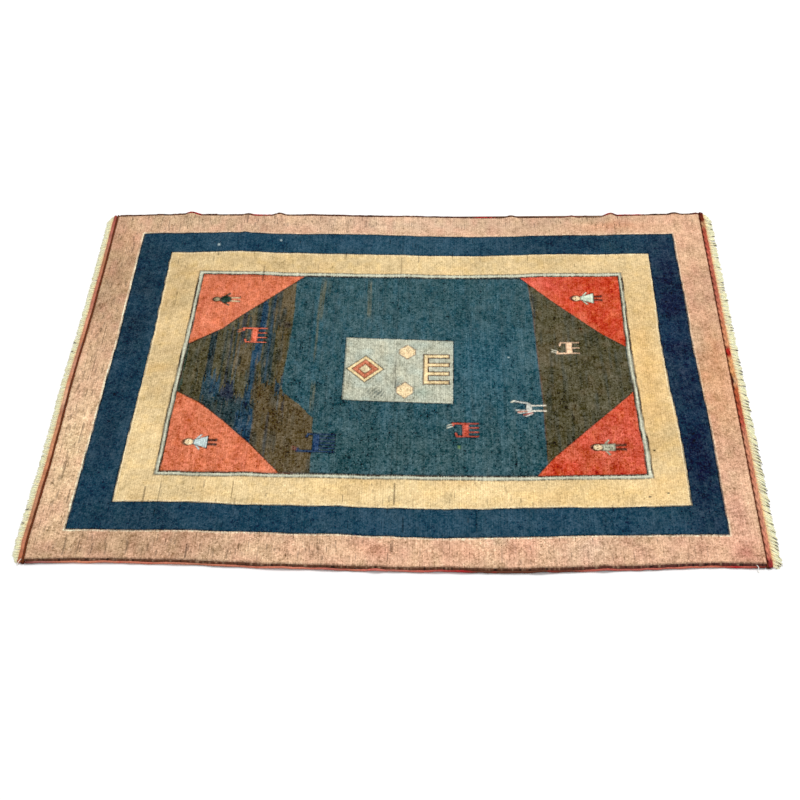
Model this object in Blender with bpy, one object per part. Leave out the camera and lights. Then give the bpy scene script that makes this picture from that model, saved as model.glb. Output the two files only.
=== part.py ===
"""A hand-knotted pile rug lying flat on the floor, its long side along X and its back at z = 0.

The pieces are made straight and level first: the pile body, the two-cord selvedge along each long edge,
the rolled or braided band across each short end, and the cut warp fringe past it. Each is then laid: the
long edges bow a little and lift off the floor in short ripples, and every piece follows that bow and lift.
"""

import math

import bmesh
import bpy
from mathutils import Vector

# Driving dimensions in metres
PILE_LENGTH = 2.090
PILE_WIDTH = 1.514
PILE_HEIGHT = 0.012
RIM_ROUNDING = 0.003
SEAM = 0.0003

CORD_INNER_RADIUS = 0.0034
CORD_INNER_RISE = 0.0058
CORD_OUTER_RADIUS = 0.0036
CORD_SPACING = 0.0056
SELVEDGE_WIDTH = CORD_INNER_RADIUS + CORD_SPACING + CORD_OUTER_RADIUS

LEFT_WEB = 0.005
LEFT_RIDGE = 0.017
RIGHT_WEB = 0.0025
RIGHT_RIDGE = 0.0150
WEB_HEIGHT = 0.0050
RIDGE_HEIGHT = 0.0095
RIDGE_ANGLES = (25, 65, 110, 150)
BRAID_PITCH = 0.030
BRAID_SWELL = 0.0014
ROLL_PITCH = 0.077
ROLL_SWELL = 0.0005

LOCKS = 120
HEADING_WIDTH = 0.003
LOCK_ROOT_WIDTH = 0.0085
LOCK_TIP_WIDTH = 0.0045
LOCK_ROOT_HEIGHT = 0.0036
LOCK_TIP_HEIGHT = 0.0016
LEFT_LOCK = 0.0170
RIGHT_LOCK = 0.0265
LOCK_LEAN = math.radians(9)
LENGTH_SPREAD = 0.14
LENGTH_PACE = 1.7
LEAN_PACE = 0.22

BASE_STATION = 0.095
LEAST_STATION = 0.007
SHARP_EDGE = math.radians(60)

# How far each long edge stands out of the straight line: place along X, outward shift
NEAR_BOW = (
    (-1.045, 0.000),
    (-0.650, 0.002),
    (-0.350, 0.009),
    (0.000, 0.020),
    (0.350, 0.019),
    (0.650, 0.011),
    (0.850, 0.001),
    (1.045, 0.000),
)
FAR_BOW = (
    (-1.045, 0.000),
    (-0.750, 0.009),
    (-0.450, 0.004),
    (-0.100, -0.004),
    (0.300, -0.010),
    (0.600, -0.007),
    (0.850, -0.002),
    (1.045, 0.000),
)

# Ripples that lift an edge off the floor: place along X, width, height, reach inwards
FAR_RIPPLES = (
    (-0.765, 0.075, 0.0100, 0.110),
    (-0.568, 0.048, 0.0050, 0.080),
    (-0.451, 0.058, 0.0085, 0.100),
    (0.378, 0.064, 0.0065, 0.080),
    (0.582, 0.050, 0.0050, 0.070),
    (0.732, 0.062, 0.0140, 0.120),
    (0.955, 0.066, 0.0095, 0.100),
)
NEAR_RIPPLES = (
    (-0.310, 0.090, 0.0030, 0.070),
    (-0.045, 0.070, 0.0040, 0.070),
    (0.130, 0.060, 0.0030, 0.060),
    (0.420, 0.080, 0.0035, 0.070),
    (0.600, 0.070, 0.0030, 0.060),
)

# Rows of the body's grid, as a distance in from its near or far edge
NEAR_ROWS = (0.0, 0.022, 0.045, 0.070, 0.150)
FAR_ROWS = (0.0, 0.020, 0.045, 0.075, 0.120, 0.200)
MIDDLE_ROWS = 4

# Name, base colour and roughness of each piece's yarn
FINISHES = {
    "rug_body": ((0.52, 0.30, 0.20), 0.95),
    "selvedge_near": ((0.60, 0.16, 0.10), 0.90),
    "selvedge_far": ((0.16, 0.05, 0.03), 0.90),
    "end_band_left": ((0.42, 0.14, 0.05), 0.90),
    "end_band_right": ((0.58, 0.20, 0.10), 0.90),
    "fringe_left": ((0.80, 0.68, 0.46), 0.95),
    "fringe_right": ((0.80, 0.68, 0.46), 0.95),
}


def clear_scene():
    for item in list(bpy.data.objects):
        bpy.data.objects.remove(item, do_unlink=True)


def eased(rows, place):
    """The value at a place between the rows of a bow table, eased from row to row."""
    if place <= rows[0][0]:
        return rows[0][1]
    for (start, low), (end, high) in zip(rows, rows[1:]):
        if place <= end:
            part = (place - start) / (end - start)
            return low + (high - low) * (0.5 - 0.5 * math.cos(math.pi * part))
    return rows[-1][1]


def ripple_lift(ripples, along, inward):
    """Height of the edge's ripples at a place along it and a distance in from it."""
    total = 0.0
    for place, width, height, reach in ripples:
        aside = abs(along - place)
        if aside < width / 2 and inward < reach:
            crest = math.cos(math.pi * aside / width) ** 2
            fade = 0.5 + 0.5 * math.cos(math.pi * max(inward, 0.0) / reach)
            total += height * crest * fade
    return total


def laid(point):
    """Where a point of the straight, level rug goes on the floor."""
    across = min(max(point.y / PILE_WIDTH + 0.5, 0.0), 1.0)
    outward = across * eased(FAR_BOW, point.x) - (1.0 - across) * eased(NEAR_BOW, point.x)
    lift = ripple_lift(FAR_RIPPLES, point.x, PILE_WIDTH / 2 - point.y)
    lift += ripple_lift(NEAR_RIPPLES, point.x, PILE_WIDTH / 2 + point.y)
    return Vector((point.x, point.y + outward, point.z + lift))


def long_stations():
    """Places along X where the long pieces get a section: evenly spaced, closer over each ripple."""
    count = math.ceil(PILE_LENGTH / BASE_STATION)
    wanted = [PILE_LENGTH * (index / count - 0.5) for index in range(count + 1)]
    ripple_places = []
    for place, width, _, _ in FAR_RIPPLES + NEAR_RIPPLES:
        ripple_places += [place + width * quarter / 4 for quarter in (-2, -1, 0, 1, 2)]
    kept = []
    for place in sorted(ripple_places):
        if not kept or place - kept[-1] > LEAST_STATION:
            kept.append(place)
    for place in wanted:
        if all(abs(place - other) > 2 * LEAST_STATION for other in kept):
            kept.append(place)
    return sorted(kept)


def finish_of(name):
    colour, roughness = FINISHES[name]
    material = bpy.data.materials.new(name + "_yarn")
    material.use_nodes = True
    shader = material.node_tree.nodes["Principled BSDF"]
    shader.inputs["Base Color"].default_value = (*colour, 1.0)
    shader.inputs["Roughness"].default_value = roughness
    shader.inputs["Metallic"].default_value = 0.0
    return material


def add_piece(name, bm, collection):
    """Lays a finished straight mesh on the floor and makes it an object of the rug."""
    for vert in bm.verts:
        vert.co = laid(vert.co)
    bmesh.ops.recalc_face_normals(bm, faces=bm.faces)
    mesh = bpy.data.meshes.new(name)
    bm.to_mesh(mesh)
    bm.free()
    mesh.materials.append(finish_of(name))
    piece = bpy.data.objects.new(name, mesh)
    collection.objects.link(piece)
    return piece


def arc(centre, radius, start, end, steps):
    """Points on an arc between two angles in degrees, both ends included."""
    points = []
    for step in range(steps + 1):
        angle = math.radians(start + (end - start) * step / steps)
        points.append((centre[0] + radius * math.cos(angle), centre[1] + radius * math.sin(angle)))
    return points


def swept_solid(stations, section, place):
    """A closed bar: the section's outline carried through every station, with a cap at each end."""
    bm = bmesh.new()
    rank = bm.verts.layers.int.new("rank")
    ring = []
    for index, point in enumerate(section(stations[0])):
        vert = bm.verts.new(place(stations[0], point))
        vert[rank] = index
        ring.append(vert)
    rim = list(bm.faces.new(ring).edges)
    for station in stations[1:]:
        made = bmesh.ops.extrude_edge_only(bm, edges=rim)["geom"]
        moved = {item for item in made if isinstance(item, bmesh.types.BMVert)}
        outline = section(station)
        for vert in moved:
            vert.co = place(station, outline[vert[rank]])
        rim = [edge for edge in bm.edges if moved.issuperset(edge.verts)]
    bmesh.ops.contextual_create(bm, geom=rim)
    return bm


def make_body(collection, stations):
    """The knotted pile and its foundation: a thick level sheet with a rounded upper rim."""
    half = PILE_WIDTH / 2
    rows = [-half + inset for inset in NEAR_ROWS]
    rows += [half - inset for inset in reversed(FAR_ROWS)]
    first = -half + NEAR_ROWS[-1]
    last = half - FAR_ROWS[-1]
    rows += [first + (last - first) * step / (MIDDLE_ROWS + 1) for step in range(1, MIDDLE_ROWS + 1)]
    rows.sort()
    bm = bmesh.new()
    across = len(rows) - 1
    along = len(stations) - 1
    bmesh.ops.create_grid(bm, x_segments=along, y_segments=across, size=0.5)
    for vert in bm.verts:
        column = round((vert.co.x + 0.5) * along)
        row = round((vert.co.y + 0.5) * across)
        vert.co = (stations[column], rows[row], 0.0)
    made = bmesh.ops.extrude_face_region(bm, geom=bm.faces[:])["geom"]
    top = [item for item in made if isinstance(item, bmesh.types.BMVert)]
    bmesh.ops.translate(bm, verts=top, vec=(0.0, 0.0, PILE_HEIGHT))
    bmesh.ops.recalc_face_normals(bm, faces=bm.faces)
    rim = [
        edge
        for edge in bm.edges
        if min(vert.co.z for vert in edge.verts) > PILE_HEIGHT / 2
        and edge.calc_face_angle(0.0) > SHARP_EDGE
    ]
    bmesh.ops.bevel(bm, geom=rim, offset=RIM_ROUNDING, segments=2, profile=0.5, affect="EDGES", material=-1)
    return add_piece("rug_body", bm, collection)


def selvedge_section(_station):
    """Two wrapped cords side by side, the inner one a little higher, flat against the floor and the pile."""
    inner = (CORD_INNER_RADIUS, CORD_INNER_RISE)
    outer = (CORD_INNER_RADIUS + CORD_SPACING, CORD_OUTER_RADIUS)
    outline = [(0.0, 0.0), (outer[0], 0.0)]
    outline += arc(outer, CORD_OUTER_RADIUS, -45, 110, 4)
    outline += arc(inner, CORD_INNER_RADIUS, 40, 120, 2)
    outline.append((0.0, inner[1] + CORD_INNER_RADIUS / 2))
    return outline


def make_selvedge(name, side, collection, stations):
    """The overcast edge, side -1 along the near edge and 1 along the far one."""
    start = PILE_WIDTH / 2 + SEAM

    def place(station, point):
        return (station, side * (start + point[0]), point[1])

    return add_piece(name, swept_solid(stations, selvedge_section, place), collection)


def make_end_band(name, side, web, ridge, pitch, swell, collection):
    """The band across a short end, side -1 at the left and 1 at the right: a low woven web beside the
    pile, then a rounded ridge that swells and narrows once in each turn of its roll or braid."""
    start = PILE_LENGTH / 2 + SEAM
    length = PILE_WIDTH + 2 * (SEAM + SELVEDGE_WIDTH)
    turns = round(length / pitch)

    def section(station):
        more = swell * math.cos(2 * math.pi * turns * (station / length + 0.5))
        width = ridge - swell + more
        height = RIDGE_HEIGHT + more
        outline = [(0.0, 0.0), (web + width, 0.0)]
        for angle in RIDGE_ANGLES:
            around = math.radians(angle)
            outline.append((web + width * (0.5 + 0.5 * math.cos(around)), height * math.sin(around)))
        outline += [(web, WEB_HEIGHT), (0.0, WEB_HEIGHT)]
        return outline

    def place(station, point):
        return (side * (start + point[0]), station, point[1])

    stations = [length * (index / (2 * turns) - 0.5) for index in range(2 * turns + 1)]
    return add_piece(name, swept_solid(stations, section, place), collection)


def lock_variation(index, pace):
    """A value from -1 to 1 that changes unevenly from lock to lock."""
    return 0.6 * math.sin(pace * index) + 0.4 * math.sin(2.63 * pace * index + 1.1)


def make_fringe(name, side, start, lock_length, collection):
    """Cut warp ends as flat tapering locks, their roots fused into a narrow heading strip."""
    length = PILE_WIDTH + 2 * SELVEDGE_WIDTH
    pitch = length / LOCKS
    margin = (pitch - LOCK_ROOT_WIDTH) / 2
    bm = bmesh.new()
    segments = 2 * LOCKS - 1
    bmesh.ops.create_grid(bm, x_segments=1, y_segments=segments, size=0.5)
    outer_edges = []
    for vert in bm.verts:
        step = round((vert.co.y + 0.5) * segments)
        lock, far_side = divmod(step, 2)
        along = -length / 2 + lock * pitch + margin + far_side * LOCK_ROOT_WIDTH
        outward = HEADING_WIDTH if vert.co.x > 0 else 0.0
        vert.co = (outward, along, 0.0)
    for edge in bm.edges:
        on_rim = all(vert.co.x > HEADING_WIDTH / 2 for vert in edge.verts)
        if on_rim and abs(edge.calc_length() - LOCK_ROOT_WIDTH) < margin:
            outer_edges.append(edge)
    outer_edges.sort(key=lambda edge: edge.verts[0].co.y)
    for index, edge in enumerate(outer_edges):
        middle = (edge.verts[0].co + edge.verts[1].co) / 2
        made = bmesh.ops.extrude_edge_only(bm, edges=[edge])["geom"]
        reach = lock_length * (1.0 - LENGTH_SPREAD + LENGTH_SPREAD * lock_variation(index, LENGTH_PACE))
        lean = LOCK_LEAN * lock_variation(index, LEAN_PACE)
        for vert in (item for item in made if isinstance(item, bmesh.types.BMVert)):
            aside = math.copysign(LOCK_TIP_WIDTH / 2, vert.co.y - middle.y)
            vert.co = (middle.x + reach, middle.y + aside + reach * math.sin(lean), 0.0)
    made = bmesh.ops.extrude_face_region(bm, geom=bm.faces[:])["geom"]
    for vert in (item for item in made if isinstance(item, bmesh.types.BMVert)):
        is_tip = vert.co.x > 1.5 * HEADING_WIDTH
        vert.co.z = LOCK_TIP_HEIGHT if is_tip else LOCK_ROOT_HEIGHT
    for vert in bm.verts:
        vert.co.x = side * (start + vert.co.x)
    return add_piece(name, bm, collection)


def centre_on_origin(pieces):
    """Moves every mesh so that the middle of the whole rug's box stands over the origin."""
    points = [vert.co for piece in pieces for vert in piece.data.vertices]
    lows = [min(point[axis] for point in points) for axis in (0, 1)]
    highs = [max(point[axis] for point in points) for axis in (0, 1)]
    shift = Vector((-(lows[0] + highs[0]) / 2, -(lows[1] + highs[1]) / 2, 0.0))
    for piece in pieces:
        for vert in piece.data.vertices:
            vert.co += shift
    print("moved by", [round(value, 5) for value in shift])


def main():
    clear_scene()
    collection = bpy.data.collections.new("turkish_rug")
    bpy.context.scene.collection.children.link(collection)
    stations = long_stations()
    left_start = PILE_LENGTH / 2 + 2 * SEAM + LEFT_WEB + LEFT_RIDGE
    right_start = PILE_LENGTH / 2 + 2 * SEAM + RIGHT_WEB + RIGHT_RIDGE
    pieces = [
        make_body(collection, stations),
        make_selvedge("selvedge_near", -1, collection, stations),
        make_selvedge("selvedge_far", 1, collection, stations),
        make_end_band("end_band_left", -1, LEFT_WEB, LEFT_RIDGE, ROLL_PITCH, ROLL_SWELL, collection),
        make_end_band("end_band_right", 1, RIGHT_WEB, RIGHT_RIDGE, BRAID_PITCH, BRAID_SWELL, collection),
        make_fringe("fringe_left", -1, left_start, LEFT_LOCK, collection),
        make_fringe("fringe_right", 1, right_start, RIGHT_LOCK, collection),
    ]
    centre_on_origin(pieces)


main()
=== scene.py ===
# %% [markdown]
# # A hand-knotted wool rug, lying flat
#
# The real rug is a woven foundation of warp and weft with rows of wool knots tied into it. Its design is
# only the colour of those knots, so the lesson draws a knot chart in numbers, and then grows a pile whose
# every small face takes the colour of its knot. The side cords, the bands at the two ends and the cut
# fringes are yarn, and they are modelled as yarn. The fixed frame gives the place and the size of
# everything.

# %% Load the frame
import math

import bmesh
import bpy
import numpy as np
from mathutils import Matrix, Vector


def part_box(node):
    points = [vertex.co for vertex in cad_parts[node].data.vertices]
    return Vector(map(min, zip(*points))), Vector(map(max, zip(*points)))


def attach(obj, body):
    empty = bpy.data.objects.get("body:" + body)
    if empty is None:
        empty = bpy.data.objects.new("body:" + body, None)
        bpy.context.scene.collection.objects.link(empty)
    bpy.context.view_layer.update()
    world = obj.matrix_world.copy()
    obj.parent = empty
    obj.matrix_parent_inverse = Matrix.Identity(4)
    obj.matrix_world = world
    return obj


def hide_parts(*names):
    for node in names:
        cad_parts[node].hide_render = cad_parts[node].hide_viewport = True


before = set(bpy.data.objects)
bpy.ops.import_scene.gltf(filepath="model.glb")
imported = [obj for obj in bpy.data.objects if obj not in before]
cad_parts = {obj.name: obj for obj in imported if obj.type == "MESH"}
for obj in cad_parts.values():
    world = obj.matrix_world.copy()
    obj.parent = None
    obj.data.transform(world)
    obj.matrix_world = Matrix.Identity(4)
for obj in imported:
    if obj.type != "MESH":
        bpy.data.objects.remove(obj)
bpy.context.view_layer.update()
print("nodes in the frame:", sorted(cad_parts))

# %% [markdown]
# The rug was set out straight, with the middle of its pile at the origin, and was then bowed and laid. The
# frame's boxes give the size of the pile and how far the laid rug was moved to stand on its own middle.
# Every piece below is made in the straight rug first, because there the rows of knots are straight lines.

# %% Sizes read from the frame
body_low, body_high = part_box("rug_body")
band_low, band_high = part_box("end_band_left")
left_end_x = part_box("fringe_left")[0].x
right_end_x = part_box("fringe_right")[1].x

PILE_LENGTH = body_high.x - body_low.x
PILE_WIDTH = 1.514
PILE_TOP = 0.012
SHIFT_X = (body_high.x + body_low.x) / 2
SHIFT_Y = (band_high.y + band_low.y) / 2
HALF_LENGTH = PILE_LENGTH / 2
HALF_WIDTH = PILE_WIDTH / 2
SEAM = 0.0003
print("pile", round(PILE_LENGTH, 4), "by", PILE_WIDTH, "moved by", round(SHIFT_X, 5), round(SHIFT_Y, 5))

# %% [markdown]
# A hand-woven rug is never a true rectangle. Its near edge bows out, its far edge waves in and out, and the
# long edges lift off the floor in short ripples where the side cords pull. The bows are those of the solid
# model. The ripples are too, but a few of the far edge's are moved by some millimetres and a low one is
# added. A second set of small tables lets the weave stray a little more at its edges. Cosine steps join the
# rows without a kink.

# %% The lay of the rug
NEAR_BOW = (  # place along the rug, how far the near edge stands out
    (-1.045, 0.0), (-0.65, 0.002), (-0.35, 0.009), (0.0, 0.02), (0.35, 0.019), (0.65, 0.011), (0.85, 0.001),
    (1.045, 0.0),
)
FAR_BOW = (  # place along the rug, how far the far edge stands out
    (-1.045, 0.0), (-0.75, 0.009), (-0.45, 0.004), (-0.1, -0.004), (0.3, -0.01), (0.6, -0.007),
    (0.85, -0.002), (1.045, 0.0),
)
FAR_RIPPLES = (  # place, width, height, how far it reaches in from the edge
    (-0.772, 0.075, 0.01, 0.11), (-0.57, 0.048, 0.0055, 0.3), (-0.456, 0.058, 0.0085, 0.1),
    (0.378, 0.064, 0.0065, 0.08), (0.59, 0.06, 0.005, 0.07), (0.64, 0.034, 0.0022, 0.05),
    (0.728, 0.066, 0.0125, 0.12), (0.96, 0.066, 0.0085, 0.1),
)
NEAR_RIPPLES = (
    (-0.31, 0.09, 0.003, 0.07), (-0.045, 0.07, 0.004, 0.07), (0.13, 0.06, 0.003, 0.06),
    (0.42, 0.08, 0.0035, 0.07), (0.6, 0.07, 0.003, 0.06),
)
FAR_DRAW = (  # place along the rug, how far the weave strays outwards at the edge
    (-1.045, 0.002), (-1.0, 0.004), (-0.9, 0.005), (-0.85, 0.002), (-0.8, 0.004), (-0.75, -0.001),
    (-0.45, 0.001), (-0.3, 0.003), (0.0, 0.0), (0.25, -0.003), (0.45, -0.003), (0.6, -0.004),
    (0.72, -0.003), (0.76, 0.001), (0.92, 0.004), (0.97, 0.001), (1.0, 0.004), (1.045, 0.008),
)
NEAR_DRAW = (
    (-1.045, -0.001), (-1.0, -0.003), (-0.89, -0.006), (-0.78, -0.007), (-0.66, -0.005), (-0.44, -0.003),
    (-0.33, 0.001), (-0.2, -0.001), (-0.08, -0.003), (0.1, -0.002), (0.3, 0.0), (0.57, -0.002),
    (0.69, -0.004), (0.8, -0.003), (0.92, -0.006), (1.045, -0.004),
)
LEFT_DRAW = (  # place across the rug, how far the left end strays outwards
    (-0.757, 0.003), (-0.68, 0.005), (-0.6, 0.003), (-0.5, 0.001), (-0.4, -0.001), (-0.25, -0.001),
    (-0.08, 0.001), (0.03, 0.0), (0.14, -0.003), (0.3, -0.005), (0.5, -0.005), (0.757, -0.003),
)
DRAW_REACH = 0.09
SOFT_MARGIN = 0.06


def eased(rows, place):
    """The value at every place, with cosine steps between rows of (place, value)."""
    places = np.array([row[0] for row in rows])
    values = np.array([row[1] for row in rows])
    index = np.clip(np.searchsorted(places, place) - 1, 0, len(places) - 2)
    share = np.clip((place - places[index]) / (places[index + 1] - places[index]), 0, 1)
    return values[index] + (values[index + 1] - values[index]) * (0.5 - 0.5 * np.cos(math.pi * share))


def ripple_lift(ripples, x, inward):
    """How high the ripples of one long edge lift each point."""
    lift = np.zeros_like(x)
    for place, width, height, reach in ripples:
        along = np.clip((x - place) / width, -0.5, 0.5)
        fade = np.clip(np.maximum(inward, 0) / reach, 0, 1)
        lift += height * np.cos(math.pi * along) ** 2 * (0.5 + 0.5 * np.cos(math.pi * fade))
    return lift


# %% [markdown]
# Inside its edges the rug isn't quite flat either: it has lain folded and rolled, and soft swells a few
# millimetres high are left, which show as broad light and shade in the borders. They are listed in a short
# table. All of them only lift, so nothing sinks into the floor.

# %% Soft swells and the fold lines
SWELLS = (  # x, y, reach along, reach across, height
    (-0.4, -0.6, 0.07, 0.11, 0.0022), (-0.18, -0.63, 0.06, 0.12, 0.0026), (0.02, -0.6, 0.06, 0.1, 0.0022),
    (0.19, -0.61, 0.055, 0.13, 0.0034), (0.345, -0.6, 0.055, 0.12, 0.0028),
    (0.505, -0.59, 0.06, 0.11, 0.003), (0.69, -0.62, 0.07, 0.09, 0.002), (-0.7, -0.56, 0.08, 0.09, 0.0018),
    (-0.76, 0.0, 0.06, 0.09, 0.0022), (-0.77, -0.26, 0.05, 0.08, 0.0026), (0.8, 0.2, 0.05, 0.12, 0.0022),
    (0.815, -0.02, 0.05, 0.08, 0.0026), (0.96, -0.2, 0.06, 0.11, 0.0022), (0.98, 0.25, 0.05, 0.12, 0.002),
    (-0.2, 0.33, 0.08, 0.1, 0.0018), (0.28, 0.2, 0.09, 0.11, 0.0016), (0.56, -0.08, 0.08, 0.09, 0.0018),
    (-0.52, 0.02, 0.07, 0.09, 0.0018), (0.08, -0.3, 0.1, 0.08, 0.0016), (-0.66, 0.62, 0.08, 0.07, 0.0016),
    (0.15, 0.64, 0.12, 0.06, 0.0014), (0.62, 0.62, 0.08, 0.07, 0.0018),
)
FOLD_X = -0.004
FOLD_WIDTH = 0.014
FOLD_HEIGHT = 0.0012


def soft_lift(x, y):
    """The height of the soft swells, and of the ridge left where the rug was once folded across."""
    lift = FOLD_HEIGHT * np.exp(-((x - FOLD_X) / FOLD_WIDTH) ** 2)
    for place_x, place_y, along, across, height in SWELLS:
        lift += height * np.exp(-((x - place_x) / along) ** 2 - ((y - place_y) / across) ** 2)
    return lift


def laid(points):
    """Points of the straight rug, an array of rows of x, y and z, bowed and lifted to where they lie."""
    x, y, z = points.T
    across = np.clip(y / PILE_WIDTH + 0.5, 0, 1)
    bow = across * eased(FAR_BOW, x) - (1 - across) * eased(NEAR_BOW, x)
    lift = ripple_lift(FAR_RIPPLES, x, HALF_WIDTH - y) + ripple_lift(NEAR_RIPPLES, x, HALF_WIDTH + y)
    lift += soft_lift(x, y) * np.clip((HALF_LENGTH - np.abs(x)) / SOFT_MARGIN, 0, 1)
    sides = ((y, HALF_WIDTH), (-y, HALF_WIDTH), (-x, HALF_LENGTH))
    far, near, left = (np.clip((place - edge) / DRAW_REACH + 1, 0, 1) for place, edge in sides)
    draw_y = far * eased(FAR_DRAW, x) - near * eased(NEAR_DRAW, x)
    draw_x = -left * eased(LEFT_DRAW, y)
    return np.stack([x + draw_x + SHIFT_X, y + bow + draw_y + SHIFT_Y, z + lift], axis=1)


corner = laid(np.array([[-HALF_LENGTH, -HALF_WIDTH, 0.0], [0.0, -HALF_WIDTH, 0.0]]))
print("near edge at the corner and at the middle:", np.round(corner[:, 1], 4))

# %% [markdown]
# ## The knot chart
#
# A weaver reads a rug from a chart with one square for each knot. Here the chart is an array of colours,
# one for each square of about three and a half millimetres. All of it is worked out: nested frames for the
# borders, lines for the corner triangles, and small strokes and ovals for the figures. Dyes are written as
# the eye sees them on a screen, from 0 to 255, and turned into the linear values that a shader mixes.

# %% The empty chart
KNOT = 0.0035
COLUMNS = 598
ROWS = 432
knot_x = (np.arange(COLUMNS) + 0.5) / COLUMNS * PILE_LENGTH - HALF_LENGTH
knot_y = (np.arange(ROWS) + 0.5) / ROWS * PILE_WIDTH - HALF_WIDTH
X, Y = np.meshgrid(knot_x, knot_y, indexing="ij")


def dye(red, green, blue):
    """A screen colour as linear numbers."""
    screen = np.array([red, green, blue]) / 255
    return np.where(screen < 0.04045, screen / 12.92, ((screen + 0.055) / 1.055) ** 2.4)


PINK = dye(214, 172, 141)
BEIGE = dye(170, 137, 105)
PALE_PINK = dye(212, 189, 162)
ROSE = dye(214, 156, 132)
PEACH = dye(234, 203, 161)
TAN = dye(196, 141, 100)
NAVY = dye(34, 66, 84)
DEEP_NAVY = dye(3, 24, 54)
DULL_NAVY = dye(16, 44, 60)
STEEL = dye(50, 84, 102)
GOLD = dye(220, 194, 146)
HONEY = dye(218, 176, 112)
PALE_GOLD = dye(238, 210, 158)
DULL_GOLD = dye(194, 167, 122)
GUARD_GREEN = dye(208, 208, 184)
CORAL = dye(207, 116, 82)
RED = dye(194, 66, 39)
BROWN_OLIVE = dye(95, 81, 56)
OLIVE = dye(80, 75, 52)
LICHEN = dye(98, 98, 78)
DARK_TEAL = dye(34, 54, 58)
TEAL = dye(52, 83, 89)
BRIGHT_TEAL = dye(52, 96, 112)
BLUE = dye(27, 64, 88)
MIDNIGHT = dye(22, 36, 56)
PANEL_GREY = dye(184, 185, 165)
WORN_GREY = dye(166, 172, 154)
CREAM = dye(238, 212, 162)
BONE = dye(226, 222, 200)
OUTLINE = dye(40, 30, 24)
GUARD_LINE = dye(48, 26, 10)
BROWN = dye(104, 62, 40)
LEAF = dye(44, 66, 56)
PALE_BLUE = dye(184, 200, 198)
PALE_GREEN = dye(206, 218, 196)
INDIGO = dye(34, 62, 96)
MOSS = dye(96, 128, 62)
NIGHT = dye(10, 20, 26)

chart = np.empty((COLUMNS, ROWS, 3))
chart[:] = PINK
print("chart of", COLUMNS, "by", ROWS, "knots")

# %% [markdown]
# Two kinds of unevenness run through everything. A mottle is soft noise with patches as long and as wide as
# asked, and with short patches along the rug and long ones across it, it gives the streaks that follow the
# rows of knots. A patch is one soft spot of another tone, placed one by one.

# %% Mottles, patches and painting
def mottle(along, across, seed):
    """Soft noise from -1 to 1 over the chart, in patches of about that size in metres."""
    rng = np.random.default_rng(seed)
    u = (knot_x + HALF_LENGTH) / along
    v = (knot_y + HALF_WIDTH) / across
    coarse = rng.uniform(-1, 1, (int(u[-1]) + 2, int(v[-1]) + 2))
    i, j = u.astype(int), v.astype(int)
    fu, fv = u - i, v - j
    fu = (fu * fu * (3 - 2 * fu))[:, None]
    fv = (fv * fv * (3 - 2 * fv))[None, :]
    near = coarse[i][:, j] * (1 - fu) + coarse[i + 1][:, j] * fu
    far = coarse[i][:, j + 1] * (1 - fu) + coarse[i + 1][:, j + 1] * fu
    return near * (1 - fv) + far * fv


def patch(x, y, along, across):
    """One soft spot, 1 at its middle."""
    return np.exp(-((X - x) / along) ** 2 - ((Y - y) / across) ** 2)


def paint(where, tone, strength=1.0):
    """Dyes the knots of a mask, or mixes the tone in by a soft weight."""
    weight = (np.asarray(where, float) * strength)[..., None]
    chart[:] = chart * (1 - weight) + tone * weight


def cloud(area, noise, tone, strength):
    """Mixes a tone into an area wherever the noise is above nought."""
    paint(area * np.clip(noise, 0, 1), tone, strength)


def tint(area, rows):
    """Lays spots of other hanks over an area: rows of x, y, reach along, reach across, dye, strength."""
    for x, y, along, across, tone, strength in rows:
        paint(area * patch(x, y, along, across), tone, strength)


def cover(depth):
    """How much of each knot a shape covers, from how deep the middle of the knot lies inside the shape."""
    return np.clip(depth / KNOT + 0.5, 0, 1)


row_streaks = mottle(KNOT * 2, 0.22, 11)
short_streaks = mottle(KNOT, 0.05, 12)
broad_cloud = mottle(0.13, 0.16, 13)
hank_change = mottle(0.03, 0.045, 14)
print("streaks from", round(float(row_streaks.min()), 2), "to", round(float(row_streaks.max()), 2))

# %% [markdown]
# The borders are frames one inside the other. Each is given by its four corners, because a weaver's corners
# are never quite square, and a measure of depth inside the frame then tells borders, guard stripe and
# hairlines apart. A slow wander of a knot or two keeps the long lines from looking ruled.

# %% Borders
NAVY_FRAME = ((-0.932, 0.656), (0.943, 0.653), (0.953, -0.657), (-0.949, -0.653))
GOLD_FRAME = ((-0.819, 0.553), (0.847, 0.548), (0.861, -0.553), (-0.831, -0.549))
GUARD_FRAME = ((-0.7, 0.451), (0.745, 0.452), (0.761, -0.45), (-0.721, -0.446))
FIELD_FRAME = ((-0.686, 0.435), (0.733, 0.436), (0.745, -0.435), (-0.707, -0.432))
HAIRLINE = 0.0052
GUARD_LINE_WIDTH = 0.0064
WANDER_STEPS = 60
NAVY_SWAYS = (  # far, near, left, right side: place along the side, how far the line sways outwards
    ((-0.93, 0.0041), (-0.75, 0.0015), (-0.57, 0.0067), (-0.39, 0.0), (-0.21, 0.0052), (0.15, -0.0057),
     (0.51, 0.0005), (0.69, 0.0), (0.87, 0.002)),
    ((-0.7, 0.0), (-0.56, -0.0026), (-0.42, -0.0022), (-0.28, 0.0), (-0.135, -0.0041), (0.15, 0.0026),
     (0.435, -0.0033), (0.58, -0.0041), (0.72, -0.003), (0.805, 0.0)),
    ((-0.55, 0.0017), (-0.39, 0.0), (-0.23, -0.0012), (-0.055, -0.0015), (0.125, -0.0049), (0.31, -0.0023),
     (0.52, 0.0)),
    ((-0.55, 0.0038), (-0.39, 0.0045), (-0.23, 0.0052), (-0.055, 0.0012), (0.125, -0.0035), (0.31, -0.0003),
     (0.52, -0.0017)),
)
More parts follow.
